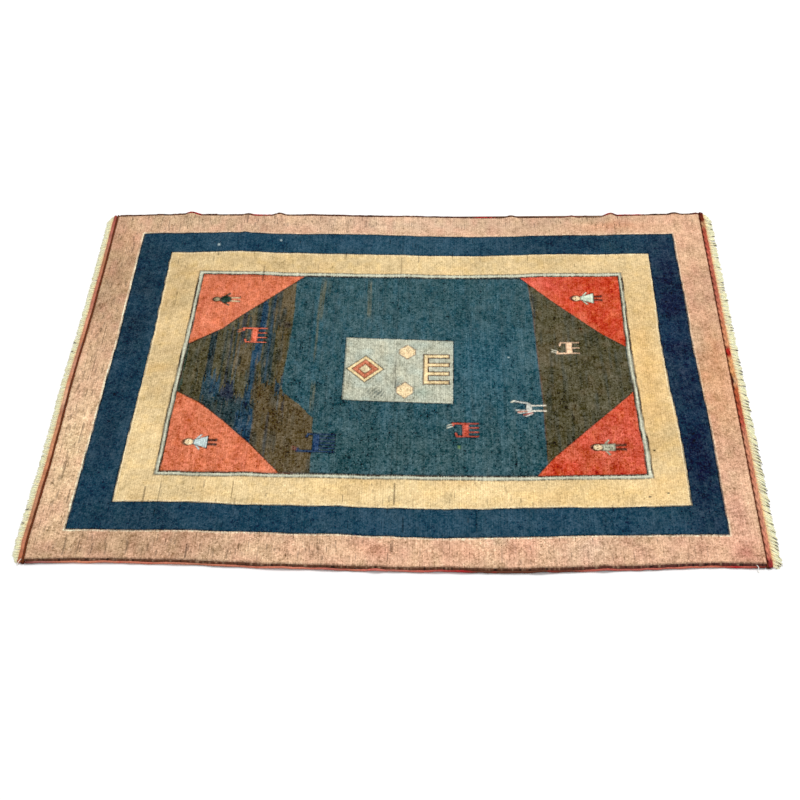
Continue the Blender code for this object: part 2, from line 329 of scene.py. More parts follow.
GOLD_SWAYS = (
    ((-0.75, -0.001), (-0.57, 0.0075), (-0.39, 0.0005), (-0.21, 0.0005), (0.15, -0.0041), (0.51, 0.0041),
     (0.69, 0.0015)),
    ((-0.72, -0.0004), (-0.57, -0.0023), (-0.43, 0.0023), (-0.28, 0.001), (-0.14, -0.0027), (0.15, 0.0027),
     (0.44, -0.0042), (0.585, -0.002), (0.73, -0.0015), (0.82, -0.0025)),
    ((-0.55, 0.0), (-0.39, 0.0), (-0.23, -0.0024), (-0.055, -0.0044), (0.125, -0.0058), (0.31, -0.0037),
     (0.52, -0.0014)),
    ((-0.55, -0.0006), (-0.39, 0.003), (-0.23, 0.0012), (-0.055, -0.0074), (0.125, -0.0096),
     (0.31, -0.0047), (0.52, -0.0017)),
)
GUARD_SWAYS = (
    ((-0.655, 0.0055), (-0.484, 0.006), (-0.4, 0.0), (0.0, 0.0), (0.114, -0.003), (0.371, 0.001),
     (0.456, 0.005), (0.63, 0.003)),
    ((-0.673, 0.002), (-0.6, 0.0045), (-0.525, 0.0028), (-0.45, -0.001), (-0.377, 0.0015),
     (-0.155, -0.0028), (-0.007, -0.004), (0.215, -0.002), (0.437, -0.003), (0.659, -0.0035)),
    ((-0.42, 0.0038), (-0.32, 0.003), (-0.25, 0.006), (-0.12, 0.0055), (0.0, 0.0042), (0.2, 0.0036),
     (0.4, 0.0045)),
    ((-0.4, 0.0015), (-0.31, 0.002), (-0.24, -0.003), (-0.12, -0.004), (0.04, -0.0065), (0.2, -0.005),
     (0.3, -0.003), (0.41, -0.001)),
)


def depth_in(corners, sways, stray, seed):
    """How deep each knot lies in a frame of four corners: far left, far right, near right, near left."""
    (ax, ay), (bx, by), (cx, cy), (dx, dy) = corners
    rng = np.random.default_rng(seed)
    drift = []
    for rows, line in zip(sways, (X[:, 0], X[:, 0], Y[0], Y[0])):
        steps = np.linspace(line[0], line[-1], WANDER_STEPS)
        drift.append(eased(rows, line) + np.interp(line, steps, rng.uniform(-stray, stray, WANDER_STEPS)))
    far = ay + (by - ay) * (X - ax) / (bx - ax) + drift[0][:, None] - Y
    near = Y - dy - (cy - dy) * (X - dx) / (cx - dx) + drift[1][:, None]
    left = X - dx - (ax - dx) * (Y - dy) / (ay - dy) + drift[2][None, :]
    right = cx + (bx - cx) * (Y - cy) / (by - cy) + drift[3][None, :] - X
    return np.minimum(np.minimum(far, near), np.minimum(left, right))


def hairline(depth, offset, tone, strength, width=HAIRLINE):
    """A line one or two knots wide along the rim of a frame, inside it or, with a minus, outside it."""
    paint(cover(width / 2 - np.abs(depth - offset)), tone, strength)


navy_depth = depth_in(NAVY_FRAME, NAVY_SWAYS, 0.0012, 21)
gold_depth = depth_in(GOLD_FRAME, GOLD_SWAYS, 0.0012, 22)
guard_depth = depth_in(GUARD_FRAME, GUARD_SWAYS, 0.001, 23)
field_depth = depth_in(FIELD_FRAME, GUARD_SWAYS, 0.001, 24)
print("knots inside the navy frame:", int((navy_depth > 0).sum()))

# %% [markdown]
# Each border was knotted from several hanks, and the wool has faded and worn unevenly since. Listed spots
# give the large changes of tone, and mottles give the small ones.

# %% Tones of the borders
soft_blotch = mottle(0.075, 0.06, 16)
PINK_TONES = (  # x, y, reach along, reach across, dye, strength
    (-1.0, 0.42, 0.12, 0.34, BEIGE, 0.95), (-0.8, -0.72, 0.34, 0.07, BEIGE, 0.7),
    (-0.75, 0.72, 0.26, 0.07, dye(200, 174, 140), 0.7), (-0.99, -0.33, 0.08, 0.32, PEACH, 0.95),
    (0.0, 0.72, 0.45, 0.06, PALE_PINK, 0.6), (0.6, 0.72, 0.28, 0.07, dye(190, 160, 132), 0.85),
    (0.99, -0.02, 0.08, 0.3, TAN, 0.95), (1.0, 0.45, 0.07, 0.2, TAN, 0.25),
    (0.72, 0.7, 0.13, 0.03, dye(222, 150, 112), 0.6), (0.45, -0.72, 0.4, 0.06, ROSE, 0.25),
    (1.0, -0.72, 0.06, 0.05, dye(206, 136, 118), 0.7), (0.3, -0.7, 0.2, 0.06, PEACH, 0.4),
    # Painted light and shade: the spots at x = -0.05, 0.19, 0.3, 0.36 and 0.56 near y = -0.7 stand for the
    # swells of the near border, lit on one flank and shaded on the other.
    (-0.38, -0.7, 0.15, 0.06, PEACH, 0.35), (-0.05, -0.7, 0.06, 0.03, dye(210, 146, 118), 0.6),
    (0.19, -0.705, 0.09, 0.035, dye(214, 150, 122), 0.5),
    (0.36, -0.69, 0.05, 0.05, dye(214, 146, 122), 0.6), (0.3, -0.67, 0.04, 0.02, PALE_PINK, 0.4),
    (0.56, -0.7, 0.05, 0.05, dye(236, 204, 176), 0.6), (0.47, -0.71, 0.05, 0.04, dye(226, 190, 158), 0.5),
    (0.84, -0.7, 0.05, 0.03, dye(206, 150, 128), 0.5), (-0.75, -0.71, 0.08, 0.04, dye(160, 128, 98), 0.5),
    (-0.56, -0.71, 0.06, 0.04, dye(200, 166, 130), 0.5),
    (-0.62, -0.705, 0.04, 0.045, dye(156, 118, 90), 0.5),
    (0.99, -0.56, 0.04, 0.12, dye(212, 156, 136), 0.45), (0.96, 0.12, 0.03, 0.08, PALE_PINK, 0.4),
    (1.01, 0.02, 0.03, 0.06, dye(196, 132, 96), 0.5), (-0.99, 0.64, 0.05, 0.06, dye(196, 138, 108), 0.45),
    (-0.9, 0.7, 0.06, 0.03, dye(214, 176, 140), 0.6), (0.995, -0.722, 0.02, 0.02, dye(168, 92, 82), 0.65),
    (-0.975, -0.735, 0.06, 0.022, dye(150, 108, 84), 0.45),
)
NAVY_TONES = (
    (0.9, 0.25, 0.08, 0.5, DEEP_NAVY, 1.0), (0.91, -0.4, 0.07, 0.32, DEEP_NAVY, 0.95),
    (-0.89, 0.3, 0.07, 0.42, DULL_NAVY, 0.95), (0.55, 0.6, 0.24, 0.06, DULL_NAVY, 0.85),
    (-0.05, 0.6, 0.42, 0.06, STEEL, 0.75), (0.25, -0.6, 0.55, 0.07, STEEL, 0.3),
    (-0.75, -0.6, 0.2, 0.08, DULL_NAVY, 0.45), (-0.89, -0.3, 0.06, 0.2, dye(14, 46, 64), 0.8),
)
GOLD_TONES = (
    (-0.77, 0.25, 0.08, 0.3, DULL_GOLD, 0.9), (-0.45, 0.5, 0.36, 0.06, DULL_GOLD, 0.45),
    (0.56, 0.5, 0.24, 0.06, DULL_GOLD, 0.45), (0.79, 0.0, 0.06, 0.34, HONEY, 0.8),
    (0.1, -0.5, 0.64, 0.06, PALE_GOLD, 0.8), (0.6, -0.5, 0.28, 0.05, dye(236, 200, 138), 0.6),
)


tint(1.0, PINK_TONES)
cloud(1.0, broad_cloud, BEIGE, 0.2)
cloud(1.0, -broad_cloud, PALE_PINK, 0.2)
cloud(1.0, hank_change, ROSE, 0.35)
cloud(1.0, -hank_change, dye(214, 186, 144), 0.3)
cloud(1.0, soft_blotch, dye(232, 184, 148), 0.3)
cloud(1.0, -soft_blotch, dye(190, 148, 120), 0.3)

on_navy = cover(navy_depth)
paint(on_navy, NAVY)
tint(on_navy, NAVY_TONES)
cloud(on_navy, hank_change, dye(22, 62, 74), 0.35)
cloud(on_navy, -soft_blotch, dye(20, 60, 84), 0.4)
cloud(on_navy, mottle(0.022, 0.035, 15), dye(20, 50, 66), 0.3)

on_gold = cover(gold_depth)
paint(on_gold, GOLD)
tint(on_gold, GOLD_TONES)
cloud(on_gold, broad_cloud, PALE_GOLD, 0.4)
cloud(on_gold, mottle(0.07, 0.05, 25), HONEY, 0.35)
cloud(on_gold, -soft_blotch, dye(206, 186, 142), 0.35)
cloud(on_gold, mottle(0.02, 0.02, 26), dye(232, 194, 118), 0.25)
print("knots of the golden band and what it encloses:", int(on_gold.sum()))

# %% [markdown]
# Every change of border is edged with a thin line, dark on one side and pale on the other, and the guard
# stripe lies between two brown lines. The lines are stronger and weaker along the way, and the guard
# stripe's outer line is fainter on its two long sides.

# %% Hairlines and the guard stripe
uneven_line = np.clip(0.85 + 0.7 * short_streaks, 0, 1)
pale_side = 0.3 + 0.65 * (X < -0.9) + 0.35 * (Y < -0.6)
hairline(navy_depth, -HAIRLINE / 2, dye(246, 232, 200), pale_side * uneven_line)
hairline(navy_depth, HAIRLINE * 0.4, NIGHT, 0.85 * uneven_line)
hairline(gold_depth, -HAIRLINE * 0.4, NIGHT, 0.9 * uneven_line)
hairline(gold_depth, HAIRLINE / 2, dye(248, 228, 188), 0.6 * uneven_line)
paint(cover(guard_depth), GUARD_GREEN)
cloud(cover(guard_depth), short_streaks, WORN_GREY, 0.6)
LONG_SIDE_Y = 0.43
long_side = np.where(np.abs(Y) > LONG_SIDE_Y, 0.7, 1.0)
hairline(guard_depth, HAIRLINE * 0.1, GUARD_LINE, 0.98 * uneven_line * long_side, GUARD_LINE_WIDTH)
on_field = cover(field_depth)
paint(on_field, TEAL)
hairline(field_depth, -HAIRLINE * 0.1, GUARD_LINE, 0.98 * uneven_line, GUARD_LINE_WIDTH)
field = cover(field_depth - HAIRLINE / 2)
print("knots inside the guard stripe:", int(field.sum()))

# %% [markdown]
# The field is a stepped piece of weaving: teal in the middle, olive towards both ends, and a triangle
# across each corner. The left end was woven from odd lots of wool, so it changes from olive to blue to
# nearly black in short upright lots. Each lot is a row of the table, and its two ends are ragged, because a
# weaver joins in new yarn wherever the last one ran out.

# %% Field, ends and corner triangles
LEFT_END = (  # y, and the x where the olive end stops
    (-0.44, -0.257), (-0.287, -0.26), (-0.213, -0.264), (-0.159, -0.31), (-0.111, -0.363), (-0.087, -0.373),
    (0.005, -0.37), (0.171, -0.363), (0.28, -0.359), (0.44, -0.368),
)
RIGHT_END = ((-0.44, 0.456), (-0.128, 0.452), (0.046, 0.444), (0.248, 0.436), (0.374, 0.427), (0.44, 0.421))
LOTS = (  # x from, x to, y from, y to, dye, strength
    (-0.436, -0.364, 0.195, 0.42, BROWN_OLIVE, 0.9), (-0.54, -0.484, -0.03, 0.24, BROWN_OLIVE, 0.7),
    (-0.484, -0.452, 0.06, 0.3, DARK_TEAL, 0.55), (-0.469, -0.448, 0.18, 0.32, BLUE, 0.85),
    (-0.474, -0.452, 0.02, 0.2, BLUE, 0.8), (-0.482, -0.461, -0.11, 0.08, BLUE, 0.95),
    (-0.488, -0.466, -0.2, -0.09, BLUE, 0.85), (-0.442, -0.424, 0.12, 0.35, DARK_TEAL, 0.8),
    (-0.418, -0.406, 0.18, 0.37, DARK_TEAL, 0.65), (-0.446, -0.412, -0.085, 0.15, DARK_TEAL, 0.75),
    (-0.434, -0.426, -0.06, 0.33, BLUE, 0.45), (-0.528, -0.514, 0.13, 0.255, MIDNIGHT, 0.65),
    (-0.506, -0.496, 0.12, 0.23, DARK_TEAL, 0.8), (-0.56, -0.552, -0.1, 0.2, MIDNIGHT, 0.65),
    (-0.544, -0.538, -0.14, 0.21, DARK_TEAL, 0.85), (-0.53, -0.524, -0.08, 0.12, STEEL, 0.35),
    (-0.578, -0.571, -0.06, 0.16, DARK_TEAL, 0.6), (-0.398, -0.374, -0.06, 0.2, BROWN_OLIVE, 0.6),
    (-0.626, -0.604, -0.06, 0.16, dye(26, 46, 52), 0.9), (-0.7, -0.634, -0.12, 0.13, OLIVE, 0.8),
    (-0.716, -0.692, -0.11, 0.11, LEAF, 0.8), (-0.628, -0.57, -0.15, -0.045, dye(36, 66, 80), 0.8),
    (-0.602, -0.574, -0.12, -0.045, BLUE, 0.55), (-0.57, -0.522, -0.16, -0.085, MIDNIGHT, 0.9),
    (-0.522, -0.482, -0.196, -0.13, MIDNIGHT, 0.6), (-0.62, -0.54, -0.23, -0.12, DARK_TEAL, 0.8),
    (-0.54, -0.49, -0.25, -0.15, dye(30, 58, 66), 0.8), (-0.464, -0.3, -0.186, -0.07, BROWN_OLIVE, 0.9),
    (-0.566, -0.436, -0.345, -0.15, DARK_TEAL, 0.75), (-0.506, -0.444, -0.32, -0.185, BLUE, 0.85),
    (-0.486, -0.47, -0.26, -0.15, BLUE, 0.6), (-0.45, -0.25, -0.44, -0.14, BROWN_OLIVE, 0.9),
    (-0.408, -0.4, -0.38, -0.19, MIDNIGHT, 0.5), (-0.366, -0.358, -0.195, -0.135, MIDNIGHT, 0.6),
    (-0.394, -0.364, -0.105, -0.05, dye(30, 66, 84), 0.8), (-0.382, -0.376, -0.2, -0.1, STEEL, 0.35),
)
TRIANGLES = (  # far 1 or near -1, strength of its line, dye, points of its hem
    (1, 0.75, CORAL, ((-0.336, 0.436), (-0.439, 0.335), (-0.536, 0.24), (-0.593, 0.176), (-0.695, 0.105))),
    (-1, 0.75, CORAL,
     ((-0.35, -0.433), (-0.446, -0.325), (-0.541, -0.232), (-0.626, -0.157), (-0.706, -0.11))),
    (1, 0.45, RED, ((0.397, 0.437), (0.518, 0.302), (0.568, 0.251), (0.648, 0.169), (0.735, 0.096))),
    (-1, 0.45, RED, ((0.418, -0.436), (0.474, -0.364), (0.554, -0.283), (0.622, -0.214), (0.74, -0.094))),
)


LOT_RAGS = 0.016


def ragged(rows, seed):
    """How far the end of a lot strays on each column of knots."""
    return np.random.default_rng(seed).normal(0, rows, COLUMNS)[:, None]


left_end = cover(np.interp(Y, *zip(*LEFT_END)) + KNOT * 0.7 * short_streaks - X)
right_line = np.interp(Y, *zip(*RIGHT_END))
on_right = field * cover(X - right_line)
on_left = field * left_end
cloud(field, mottle(0.02, 0.3, 31), BRIGHT_TEAL, 0.35)
cloud(field, mottle(0.012, 0.1, 32), DARK_TEAL, 0.4)
cloud(field, mottle(0.009, 0.02, 37), BRIGHT_TEAL, 0.35)
tint(field, ((0.27, 0.04, 0.12, 0.16, BRIGHT_TEAL, 0.6), (0.02, -0.34, 0.4, 0.1, dye(50, 78, 80), 0.6)))
paint(on_right, OLIVE)
cloud(on_right, mottle(0.03, 0.03, 33), BROWN_OLIVE, 0.5)
cloud(on_right, mottle(0.009, 0.09, 38), DARK_TEAL, 0.4)
paint(on_left, OLIVE)
for number, (x_from, x_to, y_from, y_to, tone, strength) in enumerate(LOTS):
    in_lot = cover(np.minimum(X - x_from, x_to - X))
    in_lot *= (Y > y_from + ragged(LOT_RAGS, 40 + number)) * (Y < y_to + ragged(LOT_RAGS, 70 + number))
    paint(on_left * in_lot, tone, strength)
print("lots in the left end:", len(LOTS))

# %% [markdown]
# Between the lots the left end is full of short upright streaks, dark and pale. They are livelier in some
# places than in others, and the near block beside the teal is calm. Longer streaks, each with its own row
# in the table, run through the teal as well.

# %% Streaks of the field
upright = mottle(KNOT * 1.3, 0.06, 34)
calm = 1 - 0.65 * np.clip((X + 0.47) / 0.03, 0, 1) * np.clip((-0.04 - Y) / 0.06, 0, 1)
lively = np.clip(0.75 + 0.7 * mottle(0.045, 0.07, 56), 0, 1) * calm
cloud(on_left * lively, upright * 3.2 - 1.2, dye(30, 48, 52), 0.58)
cloud(on_left * lively, -upright * 3.0 - 1.4, dye(112, 98, 72), 0.5)
cloud(on_left, mottle(0.016, 0.09, 40) * 1.6 - 0.3, DARK_TEAL, 0.45)
tint(field, ((-0.371, 0.193, 0.007, 0.012, OUTLINE, 0.85),))

STREAK_TAPER = 0.03
STREAKS = (  # x at the far end, x at the near end, y from, y to, half width, dye, strength
    (-0.268, -0.274, 0.21, 0.43, 0.009, LICHEN, 0.75), (-0.248, -0.248, 0.33, 0.43, 0.006, LICHEN, 0.35),
    (-0.278, -0.276, 0.02, 0.26, 0.0045, LICHEN, 0.6), (-0.272, -0.27, -0.19, -0.05, 0.0075, LICHEN, 0.7),
    (-0.112, -0.108, 0.23, 0.43, 0.0065, LICHEN, 0.65), (-0.3, -0.296, 0.04, 0.43, 0.0035, DARK_TEAL, 0.5),
    (-0.22, -0.222, 0.1, 0.43, 0.004, DARK_TEAL, 0.35), (0.14, 0.142, 0.362, 0.386, 0.0045, OUTLINE, 0.6),
    (0.33, 0.334, -0.3, 0.43, 0.005, DARK_TEAL, 0.3), (-0.06, -0.058, 0.18, 0.43, 0.0045, DARK_TEAL, 0.4),
    (0.23, 0.232, -0.43, 0.25, 0.0045, DARK_TEAL, 0.3), (-0.13, -0.128, 0.3, 0.43, 0.003, DARK_TEAL, 0.5),
    (0.428, 0.438, 0.25, 0.372, 0.003, PANEL_GREY, 0.28), (0.434, 0.444, 0.23, 0.372, 0.003, MIDNIGHT, 0.6),
    (0.06, 0.06, 0.3, 0.43, 0.004, DARK_TEAL, 0.3), (-0.015, -0.012, -0.43, 0.43, 0.004, DARK_TEAL, 0.3),
)
for x_far, x_near, y_from, y_to, half, tone, strength in STREAKS:
    line = x_near + (x_far - x_near) * np.clip((Y - y_from) / (y_to - y_from), 0, 1)
    fade = np.clip(np.minimum(Y - y_from, y_to - Y) / STREAK_TAPER, 0, 1)
    fade *= np.clip(0.75 + 0.6 * short_streaks, 0, 1)
    paint(field * fade * cover(half - np.abs(X - line)), tone, strength)
paint(field * cover(HAIRLINE / 2 - np.abs(X - right_line)) * uneven_line, BROWN, 0.45)
print("long streaks:", len(STREAKS))

# %% [markdown]
# A triangle fills each corner of the field. Its hem steps aslant from the long side to the end, so a knot's
# depth inside it is about three quarters of its distance from the hem across the rug.

# %% Corner triangles
HEM_SLANT = 0.75
triangle_mask = np.zeros_like(field)
for side, line_strength, tone, hem_points in TRIANGLES:
    hem = np.interp(X, *zip(*sorted(hem_points)))
    beyond = side * (Y - hem) * HEM_SLANT
    mask = field * cover(beyond)
    paint(field * cover(beyond + HAIRLINE), OUTLINE, line_strength * uneven_line)
    paint(mask, tone)
    triangle_mask = np.maximum(triangle_mask, mask)
cloud(triangle_mask, mottle(0.035, 0.05, 35), dye(226, 138, 104), 0.35)
cloud(triangle_mask, mottle(0.01, 0.06, 36), dye(180, 74, 50), 0.35)
FADED_CORNERS = (
    (-0.62, 0.36, 0.1, 0.1, dye(190, 100, 72), 0.35), (0.66, -0.3, 0.12, 0.12, dye(206, 104, 84), 0.6),
    (0.45, 0.41, 0.1, 0.05, dye(212, 96, 80), 0.55),
)
tint(triangle_mask, FADED_CORNERS)
cloud(triangle_mask * (X < 0), mottle(KNOT, 0.025, 48) * 2.4 - 1.3, dye(140, 66, 44), 0.55)
cloud(triangle_mask, mottle(0.012, 0.016, 39), dye(236, 128, 80), 0.3)
print("knots in the four triangles:", int(triangle_mask.sum()))

# %% [markdown]
# ## The middle panel
#
# A pale panel, whose long sides lean by a couple of degrees, holds one lozenge of three rings, two small
# plain lozenges with cut points and a comb with four teeth, which are common motifs of village weaving. A
# lozenge is the set of knots whose two distances from the middle, each as a share of its half size, add up
# to less than one.

# %% Panel motifs
PANEL_LEFT = -0.176
PANEL_RIGHT = 0.171
PANEL_NEAR = -0.1355
PANEL_FAR = 0.137
PANEL_LEAN = 0.0335
SCUFF_ALONG = 0.8
SCUFF_ACROSS = 0.55
SCUFF_RATE = 300
LOZENGE_X = -0.11
LOZENGE_Y = 0.004
RING_BROWN = dye(96, 40, 24)
SMALL_HALF_X = 0.036
SMALL_CUT = 0.025


def lozenge(x, y, half_x, half_y):
    """How deep each knot lies inside a lozenge."""
    share = 1 - np.abs(X - x) / half_x - np.abs(Y - y) / half_y
    return share * half_x * half_y / math.hypot(half_x, half_y)


def bar(x_from, x_to, y_from, y_to):
    """How deep each knot lies inside an upright rectangle."""
    return np.minimum(np.minimum(X - x_from, x_to - X), np.minimum(Y - y_from, y_to - Y))


def outlined(depth, tone, line=OUTLINE, strength=0.85, width=KNOT):
    """Paints a shape with a line round it."""
    paint(cover(depth + width), line, strength)
    paint(cover(depth), tone)


leaned_y = Y + PANEL_LEAN * X
panel_sides = [X - PANEL_LEFT, PANEL_RIGHT - X, leaned_y - PANEL_NEAR, PANEL_FAR - leaned_y]
panel_depth = np.minimum.reduce(panel_sides)
panel = cover(panel_depth)
outlined(panel_depth, PANEL_GREY, NIGHT, 0.8 * uneven_line, KNOT * 1.1)
cloud(panel, mottle(0.03, 0.04, 43), dye(206, 200, 172), 0.45)
cloud(panel, mottle(0.035, 0.03, 44), dye(170, 188, 180), 0.45)
cloud(panel, mottle(KNOT, 0.12, 41), WORN_GREY, 0.45)
tint(panel, ((0.1, 0.1, 0.05, 0.018, WORN_GREY, 0.35),))
across_scuffs = X * SCUFF_ALONG - Y * SCUFF_ACROSS
slanted = np.abs(np.sin(across_scuffs * SCUFF_RATE + 1.2 * mottle(0.015, 0.015, 42)))
scuffs = np.clip(slanted * 1.3 - 0.25, 0, 1) * np.clip(0.7 + 0.8 * mottle(0.012, 0.012, 57), 0, 1)
SCUFFED = (
    (-0.072, -0.1, 0.034, 0.022, dye(92, 102, 96), 0.95),
    (0.02, -0.122, 0.05, 0.012, dye(140, 146, 132), 0.45),
)
tint(panel * scuffs, SCUFFED)
WORN_SPOTS = (
    (-0.003, -0.07, 0.006, 0.03, dye(70, 86, 92), 0.55),
    (0.075, -0.095, 0.028, 0.02, dye(140, 164, 150), 0.45),
)
tint(panel, WORN_SPOTS)

RINGS = (  # half size along, half size across, dye, dye of its line, strength of its line
    (0.058, 0.056, CREAM, OUTLINE, 0.95), (0.04, 0.039, dye(206, 126, 96), RING_BROWN, 0.95),
    (0.019, 0.019, dye(224, 206, 166), RING_BROWN, 0.9),
)
for half_x, half_y, tone, line_tone, strength in RINGS:
    outlined(lozenge(LOZENGE_X, LOZENGE_Y, half_x, half_y), tone, line_tone, strength)
for small_x, small_y, small_half in ((0.024, 0.081, 0.03), (0.019, -0.087, 0.033)):
    small = np.minimum(lozenge(small_x, small_y, SMALL_HALF_X, small_half), SMALL_CUT - np.abs(X - small_x))
    outlined(small, dye(234, 208, 164), BROWN, 0.8 * uneven_line)

COMB_X = 0.079
COMB_TIP = 0.156
COMB_FAR = 0.062
COMB_NEAR = -0.052
COMB_BAR = 0.0108
TEETH = 4
comb = bar(COMB_X, COMB_X + COMB_BAR, COMB_NEAR - COMB_BAR / 2, COMB_FAR + COMB_BAR / 2)
for tooth in range(TEETH):
    tooth_y = COMB_NEAR + (COMB_FAR - COMB_NEAR) * tooth / (TEETH - 1)
    comb = np.maximum(comb, bar(COMB_X, COMB_TIP, tooth_y - COMB_BAR / 2, tooth_y + COMB_BAR / 2))
outlined(comb, CREAM, dye(72, 42, 24), 1.0, KNOT * 1.3)
print("knots in the comb:", int(cover(comb).sum()))

# %% [markdown]
# ## Small figures
#
# Each corner triangle carries a small standing person and the field a few goats and a bird, all with their
# heads to the left, as such rugs are read from one end. They are common folk motifs and are drawn here as a
# weaver would set them out: a few strokes, ovals and one skirt shape, counted from the figure's own middle.

# %% Strokes for the figures
def stroke(at, start, end, width):
    """How deep each knot lies in a round-ended line; its places count from the figure's middle."""
    (x0, y0), (x1, y1) = start, end
    along_x, along_y = x1 - x0, y1 - y0
    share = ((X - at[0] - x0) * along_x + (Y - at[1] - y0) * along_y) / (along_x ** 2 + along_y ** 2)
    share = np.clip(share, 0, 1)
    return width / 2 - np.hypot(X - at[0] - x0 - share * along_x, Y - at[1] - y0 - share * along_y)


def oval(at, middle, half_x, half_y):
    """How deep each knot lies in an oval."""
    off = np.hypot((X - at[0] - middle[0]) / half_x, (Y - at[1] - middle[1]) / half_y)
    return (1 - off) * min(half_x, half_y)


def flared(at, top, bottom, top_half, bottom_half):
    """How deep each knot lies in a coat or skirt that widens from top to bottom."""
    share = np.clip((X - at[0] - top) / (bottom - top), 0, 1)
    sides = top_half + (bottom_half - top_half) * share - np.abs(Y - at[1])
    return np.minimum(sides, np.minimum(X - at[0] - top, at[0] + bottom - X))


def person(at, coat, legs, hair, shape):
    """A standing person, head to the left, in a flared, round or straight coat."""
    skin = dye(236, 208, 166)
    head = 1.0
    face_x = -0.036
    leg_width = 0.0066
    coat_end = 0.02
    arm_tip = -0.002
    if shape == "round":
        body = oval(at, (0.0, 0.0), 0.016, 0.015)
        arm_tip = 0.012
        coat_end = 0.014
        head = 0.8
        face_x = -0.031
        leg_width = 0.005
        skin = dye(160, 148, 116)
    elif shape == "flared":
        body = flared(at, -0.025, 0.02, 0.006, 0.023)
    else:
        body = flared(at, -0.025, 0.015, 0.011, 0.013)
        coat_end = 0.014
    paint(cover(oval(at, (-0.042 * head, 0.0), 0.017 * head, 0.0145 * head)), hair, 0.9)
    for side in (-1, 1):
        arm = stroke(at, (-0.018, side * 0.006), (arm_tip, side * 0.028), 0.0046)
        leg = stroke(at, (coat_end, side * 0.0075), (0.046, side * 0.0085), leg_width)
        outlined(arm, coat, OUTLINE, 0.6, KNOT * 0.5)
        outlined(leg, legs, OUTLINE, 0.7, KNOT * 0.6)
    outlined(body, coat)
    outlined(oval(at, (face_x, 0.0), 0.0128 * head, 0.011 * head), skin)
    for side in (-1, 1):
        paint(cover(stroke(at, (0.046, side * 0.0085), (0.048, side * 0.015), 0.0036)), OUTLINE, 0.8)
        paint(cover(oval(at, (-0.038, side * 0.0048), 0.0022, 0.0022)), OUTLINE, 0.9)


def goat(at, coat, head_side, horn, legs, half, leg_end, neck=0.036):
    """A goat, feet to the right, its neck at the far end (1) or the near end (-1) of its back."""
    thick = 0.0058
    belly = half - 0.003
    neck_y = half * head_side
    inwards = -head_side
    parts = [bar(at[0] - 0.005, at[0] + 0.013, at[1] - belly, at[1] + belly),
             stroke(at, (0.004, neck_y), (-neck, neck_y), thick),
             stroke(at, (-neck, neck_y), (0.002 - neck, neck_y + inwards * 0.008), thick),
             stroke(at, (0.004, -neck_y), (-0.022, -neck_y), thick * 0.7),
             stroke(at, (-0.022, -neck_y), (-0.026, -neck_y - inwards * 0.012), thick * 0.9)]
    for leg in range(legs):
        leg_y = -half + 2 * half * leg / (legs - 1)
        parts.append(stroke(at, (0.006, leg_y), (leg_end, leg_y), thick * 0.62))
    outlined(np.maximum.reduce(parts), coat, NIGHT, 0.8, KNOT * 0.9)
    for tilt in (0.003, 0.012):
        horn_from = (-0.002 - neck, neck_y + inwards * tilt)
        horn_to = (-0.016 - neck, neck_y + inwards * (tilt + 0.006))
        paint(cover(stroke(at, horn_from, horn_to, 0.0032)), horn, 0.9)


# %% [markdown]
# A row of numbers places each figure. The stray knots that a weaver leaves in the borders are added last,
# because they lie on top of everything.

# %% Place the figures
person((-0.598, 0.315), LEAF, dye(214, 190, 150), OUTLINE, "round")
person((-0.6, -0.318), PALE_BLUE, dye(70, 40, 30), dye(112, 72, 44), "flared")
person((0.62, 0.331), PALE_GREEN, dye(84, 34, 28), dye(96, 40, 30), "flared")
person((0.644, -0.323), dye(176, 176, 152), dye(92, 58, 40), dye(100, 60, 40), "straight")
for button_x in (-0.012, -0.003, 0.006):
    paint(cover(oval((0.644, -0.323), (button_x, 0.0), 0.0025, 0.0025)), OUTLINE, 0.8)

goat((-0.486, 0.146), dye(216, 108, 78), 1, CORAL, 4, 0.032, 0.042)
goat((0.542, 0.098), dye(228, 190, 154), -1, BONE, 3, 0.024, 0.036)
goat((0.206, -0.25), dye(200, 92, 72), 1, BONE, 4, 0.026, 0.042)
goat((-0.25, -0.311), INDIGO, -1, dye(130, 60, 60), 6, 0.034, 0.06, 0.052)

BIRD = (0.404, -0.158)
BIRD_LINES = (  # the neck and three strokes of the tail
    ((0.002, 0.018), (-0.044, 0.028), 0.0055), ((0.006, -0.012), (-0.036, -0.01), 0.0045),
    ((0.01, -0.018), (-0.03, -0.022), 0.0045), ((0.014, -0.024), (-0.008, -0.036), 0.0045),
)
BIRD_MARKS = (  # two coloured feathers, two feet and the beak
    ((-0.004, -0.014), (-0.03, -0.018), 0.0045, dye(224, 150, 124), 0.9),
    ((0.012, -0.022), (-0.014, -0.03), 0.004, dye(214, 110, 90), 0.8),
    ((0.012, 0.008), (0.054, 0.008), 0.0046, dye(236, 226, 206), 0.95),
    ((0.012, -0.014), (0.054, -0.014), 0.0046, dye(236, 226, 206), 0.95),
    ((-0.044, 0.028), (-0.05, 0.024), 0.0055, BONE, 1.0),
)
bird = [oval(BIRD, (0.003, 0.0), 0.009, 0.018), *(stroke(BIRD, *line) for line in BIRD_LINES)]
outlined(np.maximum.reduce(bird), dye(206, 206, 196), strength=0.35)
for start, end, width, tone, strength in BIRD_MARKS:
    paint(cover(stroke(BIRD, start, end, width)), tone, strength)

